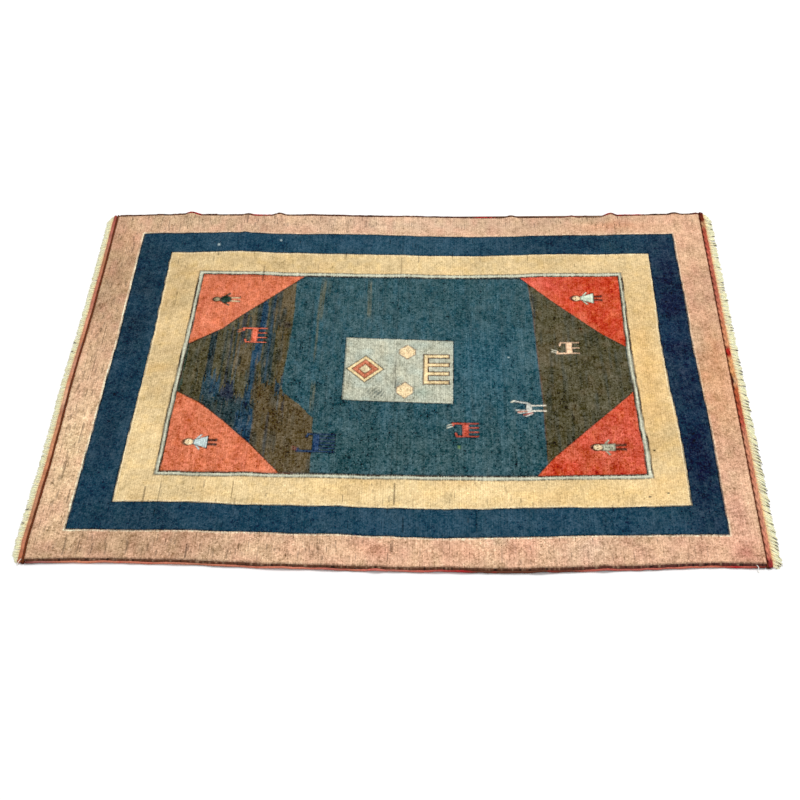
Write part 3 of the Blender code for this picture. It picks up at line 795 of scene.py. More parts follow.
STRAY_KNOTS = (  # single knots or short ends of a stray colour
    (0.19, -0.318, 0.0035, 0.006, MOSS), (-0.656, 0.594, 0.0035, 0.006, PALE_BLUE),
    (-0.438, 0.621, 0.003, 0.005, PALE_BLUE), (0.776, -0.34, 0.004, 0.004, OUTLINE),
    (0.59, 0.184, 0.004, 0.003, BROWN), (0.35, 0.06, 0.003, 0.003, PALE_BLUE),
    (0.745, -0.515, 0.004, 0.003, OUTLINE), (0.8, -0.505, 0.004, 0.003, OUTLINE),
)
for x, y, half_x, half_y, tone in STRAY_KNOTS:
    paint(cover(bar(x - half_x, x + half_x, y - half_y, y + half_y)), tone, 0.8)
paint(cover(oval((-0.378, 0.195), (0.0, 0.0), 0.012, 0.014)), OUTLINE, 0.55)
print("figures placed:", 4, "persons,", 4, "goats and a bird")

# %% [markdown]
# ## Wear, streaks and partings
#
# Wool takes dye unevenly from hank to hank, so rows of knots differ a little, and every knot differs from
# its neighbours. Where the rug was folded across, the pile parts between two rows, and a painted shade
# darkens the row of knots beside the gap. The long partings are listed in a table. Many short ones are
# scattered over the borders, most of them in the left half of the outer border, and are only painted shade
# on one row of knots.

# %% Partings
PARTINGS = (  # x, y from, y to, depth as a share of the pile
    (-0.99, 0.724, 0.757, 0.6), (-0.808, 0.661, 0.711, 0.5), (-0.568, 0.707, 0.757, 0.7),
    (-0.483, 0.402, 0.489, 0.45), (-0.141, 0.693, 0.737, 0.5), (0.051, 0.509, 0.55, 0.6),
    (-0.742, -0.559, -0.488, 0.6), (-0.697, -0.551, -0.469, 0.5), (-0.481, -0.534, -0.463, 0.5),
    (-0.001, -0.544, -0.455, 0.7), (-0.94, -0.751, -0.677, 0.6), (-0.587, -0.756, -0.697, 0.7),
    (-0.38, -0.738, -0.696, 0.3), (-0.001, -0.716, -0.665, 0.45), (-0.006, 0.44, 0.54, 0.4),
    (-0.01, -0.13, 0.13, 0.3), (0.003, -0.43, -0.15, 0.3), (-0.004, 0.56, 0.65, 0.3),
    (0.24, -0.64, -0.56, 0.4), (-0.985, 0.1, 0.19, 0.6), (-0.992, -0.02, 0.05, 0.5),
    (-0.976, -0.33, -0.25, 0.6), (-1.0, -0.47, -0.38, 0.5), (-0.77, 0.28, 0.36, 0.3),
    (0.31, -0.745, -0.69, 0.4), (-0.82, -0.75, -0.7, 0.5), (-0.47, -0.751, -0.712, 0.5),
    (0.028, -0.64, -0.583, 0.5), (-0.017, -0.57, -0.54, 0.4), (-0.01, -0.43, -0.4, 0.6),
    (-0.01, -0.083, -0.035, 0.9), (-0.014, -0.022, 0.04, 0.4), (-0.017, -0.06, 0.01, 0.3),
    (-0.96, 0.56, 0.62, 0.5), (-0.965, -0.56, -0.5, 0.6), (-0.9, -0.73, -0.69, 0.6),
    (-0.76, -0.735, -0.69, 0.6), (-0.86, -0.745, -0.7, 0.5), (-0.7, -0.73, -0.7, 0.5),
)
SCATTERED = 1300
PARTING_SHADE_DARKNESS = 0.62
PARTING_SHADE_TAPER = 0.004
PARTING_TAPER = 0.01
parting = np.zeros((COLUMNS + 1, ROWS + 1))
parting_shade = np.zeros(X.shape)
line_y = np.linspace(-HALF_WIDTH, HALF_WIDTH, ROWS + 1)


def paint_parting_shade(x, y_from, y_to, strength):
    """Paints shade on one row of knots, where the pile leans apart."""
    column = int(np.clip((x + HALF_LENGTH) / KNOT, 0, COLUMNS - 1))
    taper = np.clip(np.minimum(Y[0] - y_from, y_to - Y[0]) / PARTING_SHADE_TAPER, 0, 1)
    parting_shade[column] = np.maximum(parting_shade[column], np.clip(strength, 0, 0.85) * taper)


def part(x, y_from, y_to, depth):
    """Opens the pile along one line between two rows of knots."""
    column = int(np.clip(np.rint((x + HALF_LENGTH) / PILE_LENGTH * COLUMNS), 1, COLUMNS - 1))
    taper = np.clip(np.minimum(line_y - y_from, y_to - line_y) / PARTING_TAPER, 0, 1)
    parting[column] = np.maximum(parting[column], 0.5 * depth * taper)
    paint_parting_shade(x, y_from, y_to, depth * 1.1)


for x, y_from, y_to, depth in PARTINGS:
    part(x, y_from, y_to, depth)
scatter = np.random.default_rng(51)
for _ in range(SCATTERED):
    kind = scatter.random()
    if kind < 0.3:
        x, y = scatter.uniform(-1.03, -0.95), scatter.uniform(-0.74, 0.7)
    elif kind < 0.8:
        x = scatter.uniform(-1.03, -0.1) if scatter.random() < 0.75 else scatter.uniform(-0.1, 1.03)
        y = scatter.choice([scatter.uniform(-0.752, -0.665), scatter.uniform(0.665, 0.74)])
    else:
        x, y = scatter.uniform(-0.8, 0.8), scatter.choice([-1, 1]) * scatter.uniform(0.46, 0.63)
    paint_parting_shade(x, y, y + scatter.uniform(0.01, 0.034), scatter.uniform(0.15, 0.85) ** 1.6)
# Painted shade: the rows of knots in a parting are darkened.
chart *= 1 - PARTING_SHADE_DARKNESS * parting_shade[..., None]
print("knots darkened by a parting:", int((parting_shade > 0).sum()))

# %% [markdown]
# Last, every knot gets its own lightness: row by row, in short streaks, in pairs of knots and knot by knot.
# The outer border and the field are coarser than the two bands between them, and the near side a little
# coarser than the far side.

# %% Lightness of every knot
DARKEST = 0.001
PALEST = 0.95
KNOT_UNEVENNESS = 0.075
PAIR_UNEVENNESS = 0.12
STREAK_UNEVENNESS = 0.05
ROW_UNEVENNESS = 0.03
CLOUD_UNEVENNESS = 0.04
WORN_UNEVENNESS = 0.055
COARSE_WOOL = 0.5
FAR_CALM = 0.3
DARK_SHARE = 0.12
unevenness = ROW_UNEVENNESS * row_streaks + STREAK_UNEVENNESS * short_streaks
unevenness += CLOUD_UNEVENNESS * broad_cloud
unevenness += PAIR_UNEVENNESS * mottle(KNOT * 1.5, KNOT * 1.5, 53)
unevenness += WORN_UNEVENNESS * (mottle(0.03, 0.03, 54) + mottle(0.012, 0.014, 55))
unevenness += KNOT_UNEVENNESS * np.random.default_rng(52).normal(0, 1, X.shape)
unevenness *= 1 + (COARSE_WOOL - FAR_CALM * Y) * (1 - on_navy + field)
chart += (chart + DARK_SHARE) * np.clip(unevenness, -0.5, 0.5)[..., None]
chart = np.clip(chart, DARKEST * 2, PALEST)
print("places in a parting:", int((parting > 0).sum()))

# %% [markdown]
# ## The pile
#
# One face of a grid stands for one knot. The grid starts as a flat sheet of the whole pile. For each dyed
# area the faces of the other areas are deleted, the open rim is extruded down to the weave, and the
# underside is filled, so every area is a closed piece. The corners of the knots are then set to their
# heights: a shallow valley between two rows, a deep one in a parting, a little random length, and a rounded
# rim where the pile ends. Each corner also gets a painted shade: darker in the valleys, in the partings and
# towards the rim.

# %% Heights of the pile
VALLEY = 0.0009
LENGTH_JITTER = 0.00032
SIDE_JITTER = 0.0004
RIM = 0.005
RIM_DROP = 0.0022
PILE_FOOT = 0.0022
FOOT_SHADE = 0.55
WEAVE_TOP = 0.0034
jitter = np.random.default_rng(61)
heights = PILE_TOP - 0.0003 + jitter.normal(0, LENGTH_JITTER, (COLUMNS + 1, ROWS + 1))
heights[1::2] -= VALLEY
heights -= parting * (PILE_TOP - WEAVE_TOP) * 0.6
corner_x = np.linspace(-HALF_LENGTH, HALF_LENGTH, COLUMNS + 1)
corner_y = np.linspace(-HALF_WIDTH, HALF_WIDTH, ROWS + 1)
to_edge = np.minimum((HALF_LENGTH - np.abs(corner_x))[:, None], (HALF_WIDTH - np.abs(corner_y))[None, :])
heights -= RIM_DROP * (1 - np.sqrt(1 - (1 - np.clip(to_edge / RIM, 0, 1)) ** 2))
heights -= jitter.uniform(0, RIM_DROP, heights.shape) * (to_edge < 0.001)
heights = np.clip(heights, WEAVE_TOP, PILE_TOP + 0.0008)
# Painted shade: each knot corner is darker in every second row, in a parting and towards the rim, and a
# random spread of tone is added too.
painted_shade_and_tone = np.ones((COLUMNS + 1, ROWS + 1))
painted_shade_and_tone[1::2] -= 0.1
painted_shade_and_tone += jitter.normal(0, 0.05, painted_shade_and_tone.shape)
painted_shade_and_tone = painted_shade_and_tone * (1 - 0.9 * parting) * (0.88 + 0.12 * np.clip(to_edge / RIM, 0, 1))
print("pile from", round(float(heights.min()), 4), "to", round(float(heights.max()), 4))

# %% [markdown]
# The grid has one vertex for each corner of a knot. A few helpers read a mesh as arrays, because half a
# million values are quicker to set at once than one by one.

# %% The whole pile as one grid
def mesh_from(name, bm):
    """A mesh with what a bmesh holds; the bmesh is freed."""
    mesh = bpy.data.meshes.new(name)
    bm.to_mesh(mesh)
    bm.free()
    return mesh


def grid_mesh(name, columns, rows, length, width, height, thickness=0.0):
    """A level grid at a height, made thick downwards if a thickness is given."""
    bm = bmesh.new()
    bmesh.ops.create_grid(bm, x_segments=columns, y_segments=rows, size=0.5)
    bmesh.ops.scale(bm, vec=(length, width, 1.0), verts=bm.verts)
    bmesh.ops.translate(bm, vec=(0.0, 0.0, height), verts=bm.verts)
    if thickness:
        bmesh.ops.solidify(bm, geom=list(bm.faces), thickness=thickness)
        bmesh.ops.recalc_face_normals(bm, faces=bm.faces)
    return mesh_from(name, bm)


def corner_points(mesh):
    """The mesh's vertices as an array of rows of x, y and z."""
    points = np.empty(len(mesh.vertices) * 3)
    mesh.vertices.foreach_get("co", points)
    return points.reshape(-1, 3)


def corner_of_loops(mesh):
    """The vertex that each face corner uses."""
    loops = np.empty(len(mesh.loops), dtype=np.int64)
    mesh.loops.foreach_get("vertex_index", loops)
    return loops


def face_middles(mesh, points):
    """The middle of each face, and the face of each face corner."""
    totals = np.empty(len(mesh.polygons), dtype=np.int64)
    mesh.polygons.foreach_get("loop_total", totals)
    face_of_loop = np.repeat(np.arange(len(totals)), totals)
    middles = np.zeros((len(totals), 3))
    np.add.at(middles, face_of_loop, points[corner_of_loops(mesh)])
    return middles / totals[:, None], face_of_loop


def knot_index(x, y):
    """The chart's column and row at a place of the straight rug."""
    column = np.clip(((x + HALF_LENGTH) / PILE_LENGTH * COLUMNS).astype(int), 0, COLUMNS - 1)
    row = np.clip(((y + HALF_WIDTH) / PILE_WIDTH * ROWS).astype(int), 0, ROWS - 1)
    return column, row


whole_mesh = grid_mesh("whole_pile", COLUMNS, ROWS, PILE_LENGTH, PILE_WIDTH, PILE_TOP)
whole_middles = face_middles(whole_mesh, corner_points(whole_mesh))[0]
face_column, face_row = knot_index(whole_middles[:, 0], whole_middles[:, 1])
print("faces in the whole pile:", len(face_column))

# %% [markdown]
# Three helpers finish a mesh: its colours, the flat map that the bake will use, and its object.

# %% Helpers for colour, map and object
def set_dyes(mesh, colours):
    """Writes one linear colour for each face corner."""
    layer = mesh.color_attributes.new("dye", "FLOAT_COLOR", "CORNER")
    full = np.ones((len(colours), 4), dtype=np.float32)
    full[:, :3] = colours
    layer.data.foreach_set("color", full.ravel())


def set_flat_map(mesh, points):
    """A map seen straight from above, for the bake of a piece that is nearly flat."""
    layer = mesh.uv_layers.new(name="OFBake")
    low = points[:, :2].min(axis=0)
    span = (points[:, :2].max(axis=0) - low).max()
    layer.data.foreach_set("uv", ((points[corner_of_loops(mesh), :2] - low) / span).ravel())


def new_piece(name, mesh):
    """An object at the origin for a mesh that is already in its place."""
    mesh.name = name
    piece = bpy.data.objects.new(name, mesh)
    bpy.context.scene.collection.objects.link(piece)
    return piece


# %% [markdown]
# The areas follow the borders, so that no piece grows too heavy. The field is cut in two at the fold, where
# a seam can't be seen.

# %% One piece for each dyed area
def pile_piece(name, area):
    """The knots of one area as a closed piece with its own colours."""
    bm = bmesh.new()
    bm.from_mesh(whole_mesh)
    kept = area[face_column, face_row]
    bmesh.ops.delete(bm, geom=[face for face, keep in zip(bm.faces, kept) if not keep], context="FACES")
    rim = [edge for edge in bm.edges if edge.is_boundary]
    side = bmesh.ops.extrude_edge_only(bm, edges=rim)["geom"]
    foot = [item for item in side if isinstance(item, bmesh.types.BMVert)]
    for vert in foot:
        vert.co.z = PILE_FOOT
    foot_edges = [item for item in side if isinstance(item, bmesh.types.BMEdge) and item.is_boundary]
    bmesh.ops.triangle_fill(bm, edges=foot_edges, use_beauty=False, normal=(0.0, 0.0, -1.0))
    bmesh.ops.recalc_face_normals(bm, faces=bm.faces)
    open_edges = sum(1 for edge in bm.edges if len(edge.link_faces) != 2)
    mesh = mesh_from(name, bm)

    points = corner_points(mesh)
    on_top = points[:, 2] > PILE_FOOT + 0.001
    column = np.rint((points[:, 0] + HALF_LENGTH) / PILE_LENGTH * COLUMNS).astype(int)
    row = np.rint((points[:, 1] + HALF_WIDTH) / PILE_WIDTH * ROWS).astype(int)
    middles, face_of_loop = face_middles(mesh, points)
    loops = corner_of_loops(mesh)
    chart_column, chart_row = knot_index(middles[:, 0], middles[:, 1])
    colours = chart[chart_column, chart_row][face_of_loop]
    # Painted shade: each corner takes its painted shade, and the sides of the pile are darker still by
    # FOOT_SHADE.
    colours = colours * (painted_shade_and_tone[column, row] * np.where(on_top, 1.0, FOOT_SHADE))[loops][:, None]
    set_dyes(mesh, np.clip(colours, DARKEST, PALEST))

    move = np.random.default_rng(62).normal(0, SIDE_JITTER, (COLUMNS + 1, ROWS + 1, 2))
    inner = np.clip(to_edge / RIM, 0, 1)[column, row]
    points[:, 0] += np.where(on_top, move[column, row, 0] * inner, 0)
    points[:, 1] += np.where(on_top, move[column, row, 1] * inner, 0)
    points[:, 2] = np.where(on_top, heights[column, row], points[:, 2])
    points = laid(points)
    mesh.vertices.foreach_set("co", points.ravel())
    set_flat_map(mesh, points)
    mesh.update()
    mesh.calc_loop_triangles()
    print(name, len(mesh.loop_triangles), "triangles, open edges:", open_edges)
    return new_piece(name, mesh)


in_navy = navy_depth > 0
in_gold = gold_depth > 0
in_guard = guard_depth > 0
left_half = X < FOLD_X
pile_pieces = [
    pile_piece("pile_outer_border", ~in_navy),
    pile_piece("pile_navy_band", in_navy & ~in_gold),
    pile_piece("pile_golden_band", in_gold & ~in_guard),
    pile_piece("pile_field_left", in_guard & left_half),
    pile_piece("pile_field_right", in_guard & ~left_half),
]
bpy.data.meshes.remove(whole_mesh)
print("pieces of pile:", len(pile_pieces))

# %% [markdown]
# ## The woven foundation
#
# Under the knots lies the cloth that holds them: wool warps along the rug, and wefts across it. It is a
# sheet three and a half millimetres thick that follows every ripple. A grid gives the upper face, and
# solidify adds the rest. On its back the knots show as flat loops of the same colours, so it reads the same
# chart.

# %% Foundation
WEAVE_COLUMNS = 190
WEAVE_ROWS = 120
weave_mesh = grid_mesh(
    "woven_foundation", WEAVE_COLUMNS, WEAVE_ROWS, PILE_LENGTH, PILE_WIDTH, WEAVE_TOP, thickness=WEAVE_TOP)
points = corner_points(weave_mesh)
middles, face_of_loop = face_middles(weave_mesh, points)
weave_column, weave_row = knot_index(middles[:, 0], middles[:, 1])
set_dyes(weave_mesh, (chart[weave_column, weave_row] * 0.85)[face_of_loop])
points = laid(points)
weave_mesh.vertices.foreach_set("co", points.ravel())
set_flat_map(weave_mesh, points)
foundation = new_piece("woven_foundation", weave_mesh)
print("foundation from", np.round(points.min(axis=0), 4), "to", np.round(points.max(axis=0), 4))

# %% [markdown]
# ## Yarn as tubes
#
# Side cords, rolls, braids and warp ends are all yarn. One helper makes a closed tube of unit size from a
# cone that is cut into rings, and every piece below bends copies of it to its own path. Two rings for each
# turn of the wrapping yarn are enough to raise the turns.

# %% A unit tube
def unit_tube(sides, rings):
    """A closed tube along x from 0 to 1 with a radius of 1, cut into rings."""
    bm = bmesh.new()
    bmesh.ops.create_cone(bm, cap_ends=True, segments=sides, radius1=1.0, radius2=1.0, depth=1.0)
    lengthwise = [edge for edge in bm.edges if abs(edge.verts[0].co.z - edge.verts[1].co.z) > 0.5]
    bmesh.ops.subdivide_edges(bm, edges=lengthwise, cuts=rings - 2, use_grid_fill=True)
    bmesh.ops.rotate(bm, cent=(0, 0, 0), matrix=Matrix.Rotation(math.pi / 2, 3, "Y"), verts=bm.verts)
    bmesh.ops.translate(bm, vec=(0.5, 0.0, 0.0), verts=bm.verts)
    return mesh_from("tube", bm)


def joined(name, mesh, copies):
    """So many copies of one mesh in one mesh, in order."""
    bm = bmesh.new()
    for _ in range(copies):
        bm.from_mesh(mesh)
    return mesh_from(name, bm)


def shape_tube(name, tube, path, colour):
    """Bends a unit tube: path takes share along, cosine and sine round it; colour takes the same."""
    points = corner_points(tube)
    share, cosine, sine = points[:, 0], points[:, 1], points[:, 2]
    new_points = laid(path(share, cosine, sine))
    dyes = colour(share, cosine, sine)
    set_dyes(tube, np.clip(dyes, DARKEST, PALEST)[corner_of_loops(tube)])
    tube.vertices.foreach_set("co", new_points.ravel())
    tube.polygons.foreach_set("use_smooth", np.ones(len(tube.polygons), dtype=bool))
    bm = bmesh.new()
    bm.from_mesh(tube)
    bmesh.ops.recalc_face_normals(bm, faces=bm.faces)
    bm.to_mesh(tube)
    bm.free()
    print(name, "from", np.round(new_points.min(axis=0), 4), "to", np.round(new_points.max(axis=0), 4))
    return new_piece(name, tube)


def wander(share, steps, reach, seed):
    """A slow random drift along a tube."""
    rng = np.random.default_rng(seed)
    return np.interp(share, np.linspace(0, 1, steps), rng.uniform(-reach, reach, steps))


# %% [markdown]
# ## Selvedges
#
# Each long edge is finished with two bundles of warp, both wrapped with wool: a dark brown one against the
# pile and a salmon red one outside it. The wrapping makes close ridges round the cord. Its colour changes
# where the weaver took up another end of wool, so the outer cord has stretches of crimson and brown.

# %% Side cords
CORD_INNER_RADIUS = 0.004
CORD_INNER_RISE = 0.0066
CORD_OUTER_RADIUS = 0.0036
CORD_SPACING = 0.005
SELVEDGE_WIDTH = 0.0126
WRAP = 0.0032
WRAPS = round(PILE_LENGTH / WRAP)
CORD_TIP = 0.006
CORD_BROWN = dye(92, 58, 40)
CORD_SALMON = dye(206, 122, 98)
CORD_CRIMSON = dye(165, 40, 42)
CORD_PLUM = dye(86, 48, 42)
MAROON = dye(96, 34, 24)
NEAR_TONES = (  # place along the rug, dye of the outer cord
    (-1.045, MAROON), (-1.015, dye(160, 98, 90)), (-0.98, dye(166, 104, 94)), (-0.95, dye(190, 114, 90)),
    (-0.89, dye(222, 140, 108)), (-0.83, dye(200, 122, 96)), (-0.7, CORD_SALMON),
    (-0.56, dye(190, 122, 96)), (-0.4, CORD_SALMON), (-0.27, dye(214, 130, 106)),
    (-0.17, dye(186, 102, 90)), (-0.11, dye(190, 116, 92)), (-0.06, dye(214, 112, 98)),
    (0.0, dye(190, 112, 96)), (0.08, dye(198, 104, 90)), (0.2, CORD_CRIMSON), (0.24, dye(104, 60, 44)),
    (0.5, dye(96, 56, 40)), (0.56, dye(186, 96, 82)), (0.72, dye(184, 98, 86)), (0.9, dye(206, 116, 92)),
    (0.96, CORD_CRIMSON), (0.985, dye(184, 92, 78)), (1.045, MAROON),
)
FAR_TONES = (
    (-1.045, CORD_BROWN), (-0.8, CORD_BROWN), (-0.782, CORD_CRIMSON), (-0.752, CORD_CRIMSON),
    (-0.735, CORD_BROWN), (-0.56, CORD_BROWN), (-0.545, CORD_CRIMSON), (-0.5, CORD_CRIMSON),
    (-0.48, CORD_BROWN), (0.24, CORD_PLUM), (0.262, CORD_CRIMSON), (0.315, CORD_CRIMSON),
    (0.33, CORD_BROWN), (0.48, CORD_BROWN), (0.54, dye(140, 70, 54)), (0.7, CORD_PLUM),
    (0.724, CORD_CRIMSON), (0.745, CORD_PLUM), (0.78, CORD_CRIMSON), (0.834, CORD_CRIMSON),
    (0.855, CORD_BROWN), (1.0, CORD_BROWN), (1.045, MAROON),
)


def toned(rows, place):
    """The dye at every place, mixed between rows of (place, dye)."""
    places = [row[0] for row in rows]
    return np.stack([np.interp(place, places, [row[1][band] for row in rows]) for band in range(3)], axis=1)


def speckled(seed, strength, count):
    """A random lightness near 1 for so many places, as a column."""
    return 1 + strength * np.random.default_rng(seed).normal(0, 1, count)[:, None]


def side_cord(name, side, offset, rise, radius, knobs, colour, seed):
    """One wrapped cord along a long edge."""
    def path(share, cosine, sine):
        turn = np.where(np.rint(share * WRAPS * 2) % 2 == 0, 1.0, 0.86)
        thick = radius * turn * (1 + wander(share, 380, knobs, seed))
        end = np.clip(np.minimum(share, 1 - share) * PILE_LENGTH / CORD_TIP, 0.25, 1)
        x = (share - 0.5) * PILE_LENGTH
        y = side * (HALF_WIDTH + SEAM + offset + wander(share, 90, 0.0009, seed + 1)) + thick * cosine * end
        z = rise + wander(share, 70, 0.0013, seed + 2) + thick * sine * end
        return np.stack([x, y, np.maximum(z, 0.0)], axis=1)
    return shape_tube(name, unit_tube(8, WRAPS * 2 + 1), path, colour)


def inner_colour(rows, seed):
    """The dye of an inner cord from its table, with worn knobs and dark gaps."""
    def colour(share, cosine, sine):
        worn = np.clip(wander(share, 480, 1.5, seed) - 0.5, 0, 0.8)[:, None]
        gaps = np.clip(wander(share, 500, 1.6, seed + 1) - 0.5, 0, 0.8)[:, None]
        tone = toned(rows, (share - 0.5) * PILE_LENGTH)
        tone = tone * (1 - worn) + dye(150, 122, 98) * worn
        return tone * (1 - gaps) * speckled(seed + 2, 0.15, len(share))
    return colour


def outer_colour(rows, seed):
    """The dye of an outer cord from its table, with painted shadow on its underside."""
    def colour(share, cosine, sine):
        crimson = np.clip(wander(share, 70, 1.3, seed) - 0.8, 0, 1)[:, None]
        # Painted shadow: the underside of the cord is darkened, more in some stretches than in others.
        below = np.clip(0.1 - sine * 1.4, 0, 1)
        painted_shade_share = (below * np.clip(0.7 + wander(share, 30, 0.6, seed + 1), 0, 1))[:, None]
        tone = toned(rows, (share - 0.5) * PILE_LENGTH)
        tone = tone * (1 - crimson) + CORD_CRIMSON * crimson
        return tone * (1 - 0.9 * painted_shade_share) * speckled(seed + 2, 0.12, len(share))
    return colour


NEAR_INNER = ((-1.045, CORD_BROWN), (0.3, CORD_BROWN), (0.8, CORD_PLUM), (1.045, CORD_PLUM))
selvedges = {}
for node, side, tones, inner_tones in (
    ("selvedge_near", -1, NEAR_TONES, NEAR_INNER),
    ("selvedge_far", 1, FAR_TONES, FAR_TONES),
):
    inner = side_cord(node + "_inner_cord", side, CORD_INNER_RADIUS, CORD_INNER_RISE,
                      CORD_INNER_RADIUS, 0.24, inner_colour(inner_tones, 81 + side), 91 + side)
    outer = side_cord(node + "_outer_cord", side, CORD_INNER_RADIUS + CORD_SPACING,
                      CORD_OUTER_RADIUS, CORD_OUTER_RADIUS, 0.07, outer_colour(tones, 95 + side), 95 + side)
    selvedges[node] = [inner, outer]

# %% [markdown]
# ## End bands
#
# At the left end the last rust wefts are turned under and overcast into a roll, with a dark twined line
# between it and the pile. At the right end three rust strands are braided along the edge. Both are tubes
# that run across the rug. The roll has close turns of yarn on it, and each strand of the braid weaves in a
# flat figure of eight. Both have faded, so each table of dyes is multiplied by one fade.

# %% Rolls, twining and braid
BAND_REACH = HALF_WIDTH + SEAM + SELVEDGE_WIDTH
LEFT_LINE = 0.0072
LEFT_RIDGE = 0.0122
RIGHT_LINE = 0.0026
RIGHT_RIDGE = 0.015
RIDGE_HEIGHT = 0.009
END_CLEARANCE = 0.0005
RUST_DARK = dye(120, 52, 30)
TWINE_BROWN = dye(104, 54, 26)
ROLL_FADE = np.array([0.96, 1.45, 1.65])
BRAID_FADE = np.array([0.8, 1.18, 1.25])
ROLL_TONES = (  # place across the rug, dye of the roll
    (-0.77, dye(176, 84, 52)), (-0.7, dye(196, 104, 74)), (-0.61, dye(184, 104, 70)),
    (-0.56, dye(204, 118, 84)), (-0.43, dye(196, 106, 72)), (-0.33, dye(214, 122, 84)),
    (-0.2, dye(186, 102, 72)), (-0.14, dye(220, 142, 108)), (-0.06, dye(212, 118, 82)),
    (0.01, dye(204, 120, 92)), (0.12, dye(192, 104, 72)), (0.2, dye(216, 124, 92)), (0.3, dye(186, 96, 72)),
    (0.42, dye(196, 100, 74)), (0.52, dye(172, 96, 64)), (0.62, dye(186, 98, 76)), (0.7, dye(178, 84, 66)),
    (0.77, dye(150, 56, 42)),
)
BRAID_TONES = (  # place across the rug, dye of the braid
    (-0.77, dye(150, 34, 36)), (-0.748, dye(170, 56, 50)), (-0.73, dye(214, 110, 86)),
    (-0.52, dye(226, 134, 104)), (-0.44, dye(214, 112, 84)), (-0.3, dye(224, 130, 98)),
    (-0.23, dye(196, 76, 56)), (-0.15, dye(190, 74, 46)), (-0.09, dye(196, 84, 48)),
    (-0.055, dye(222, 146, 108)), (-0.03, dye(228, 134, 84)), (0.04, dye(232, 138, 88)),
    (0.062, dye(184, 34, 24)), (0.085, dye(184, 34, 24)), (0.105, dye(230, 136, 96)),
    (0.19, dye(222, 118, 82)), (0.33, dye(206, 98, 76)), (0.43, dye(184, 82, 62)),
    (0.515, dye(212, 100, 76)), (0.56, dye(206, 84, 66)), (0.68, dye(180, 72, 50)),
    (0.705, dye(206, 130, 90)), (0.725, dye(120, 36, 18)), (0.77, dye(96, 24, 10)),
)
BRAID_JOG = ((-0.77, 0.0), (-0.11, 0.0), (-0.075, 0.002), (-0.045, 0.0048), (-0.015, 0.0), (0.77, 0.0))


def across_rug(share):
    """The place across the rug, from its near side to its far side."""
    return (2 * share - 1) * (BAND_REACH - END_CLEARANCE)


def rounded_end(share, reach):
    """1 along a tube, falling to a rounded end at both of its ends."""
    near_end = np.clip(np.minimum(share, 1 - share) * 2 * BAND_REACH / reach, 0.02, 1)
    return np.sqrt(1 - (1 - near_end) ** 2)


ROLL_TURNS = round(2 * BAND_REACH / 0.0046)


def roll_path(share, cosine, sine):
    """The overcast roll at the left end."""
    turn = 1 - 0.12 * (np.rint(share * ROLL_TURNS * 2) % 2)
    swell = (1 + wander(share, 110, 0.1, 101)) * turn * rounded_end(share, 0.008)
    middle = -HALF_LENGTH - SEAM - LEFT_LINE - LEFT_RIDGE / 2 + wander(share, 60, 0.0009, 102)
    x = middle + LEFT_RIDGE / 2 * 0.98 * swell * cosine
    z = RIDGE_HEIGHT / 2 + RIDGE_HEIGHT / 2 * swell * sine
    return np.stack([x, across_rug(share), np.maximum(z, 0.0)], axis=1)


def roll_colour(share, cosine, sine):
    """Rust wool, with painted shade in the grooves between its turns, and darker in patches."""
    # Painted shade: the narrow rings between the turns are darkened.
    turn = 1 - 0.16 * (np.rint(share * ROLL_TURNS * 2) % 2)
    blotch = 1 + wander(share, 200, 0.16, 103)
    tone = toned(ROLL_TONES, across_rug(share)) * ROLL_FADE
    return tone * (turn * blotch)[:, None] * speckled(104, 0.1, len(share))


roll = shape_tube("end_roll_left", unit_tube(12, ROLL_TURNS * 2 + 1), roll_path, roll_colour)

# %% [markdown]
# Beside the pile two strands twine round each other at both ends. They are strong and dark on the left, and
# thin and half worn away on the right.

# %% Twined threads
TWINE_TURNS = round(2 * BAND_REACH / 0.012)


def twine(name, middle, radius, rise, phase, fade, seed):
    """One of the two strands that twine round each other beside the pile."""
    def path(share, cosine, sine):
        angle = 2 * math.pi * TWINE_TURNS * share + phase
        end = rounded_end(share, 0.004) * (1 + wander(share, 120, fade, seed + 3))
        x = middle + radius * 0.8 * np.cos(angle) + radius * cosine * end
        z = rise + radius * 0.7 * np.sin(angle) + radius * sine * end
        return np.stack([x, across_rug(share), z], axis=1)

    def colour(share, cosine, sine):
        mixing = np.clip(wander(share, 80, 1.0, seed + 1), 0, 0.7)[:, None]
        return (TWINE_BROWN * (1 - mixing) + RUST_DARK * mixing) * speckled(seed, 0.16, len(share))
    return shape_tube(name, unit_tube(6, TWINE_TURNS * 5), path, colour)


def twined_pair(name, middle, radius, rise, fade, seed):
    """Both strands of one line, half a turn apart."""
    strands = (("_first", 0.0, seed), ("_second", math.pi, seed + 2))
    return [twine(name + title, middle, radius, rise, phase, fade, own) for title, phase, own in strands]


left_groove = -HALF_LENGTH - SEAM - LEFT_LINE / 2
right_groove = HALF_LENGTH + SEAM + RIGHT_LINE / 2
left_twines = twined_pair("end_twine_left", left_groove, 0.0024, 0.0056, 0.12, 111)
right_twines = twined_pair("end_twine_right", right_groove, 0.0011, 0.005, 0.45, 115)

# %% [markdown]
# The three strands of the braid are a third of a turn apart. Near the middle of the rug the braid has been
# pulled a few millimetres outwards.

# %% Braid
BRAID_CYCLES = round(2 * BAND_REACH / 0.09)
BRAID_STRAND = 0.0036
BRAID_SWING = RIGHT_RIDGE / 2 - BRAID_STRAND
BRAID_WEAVE = 0.0013


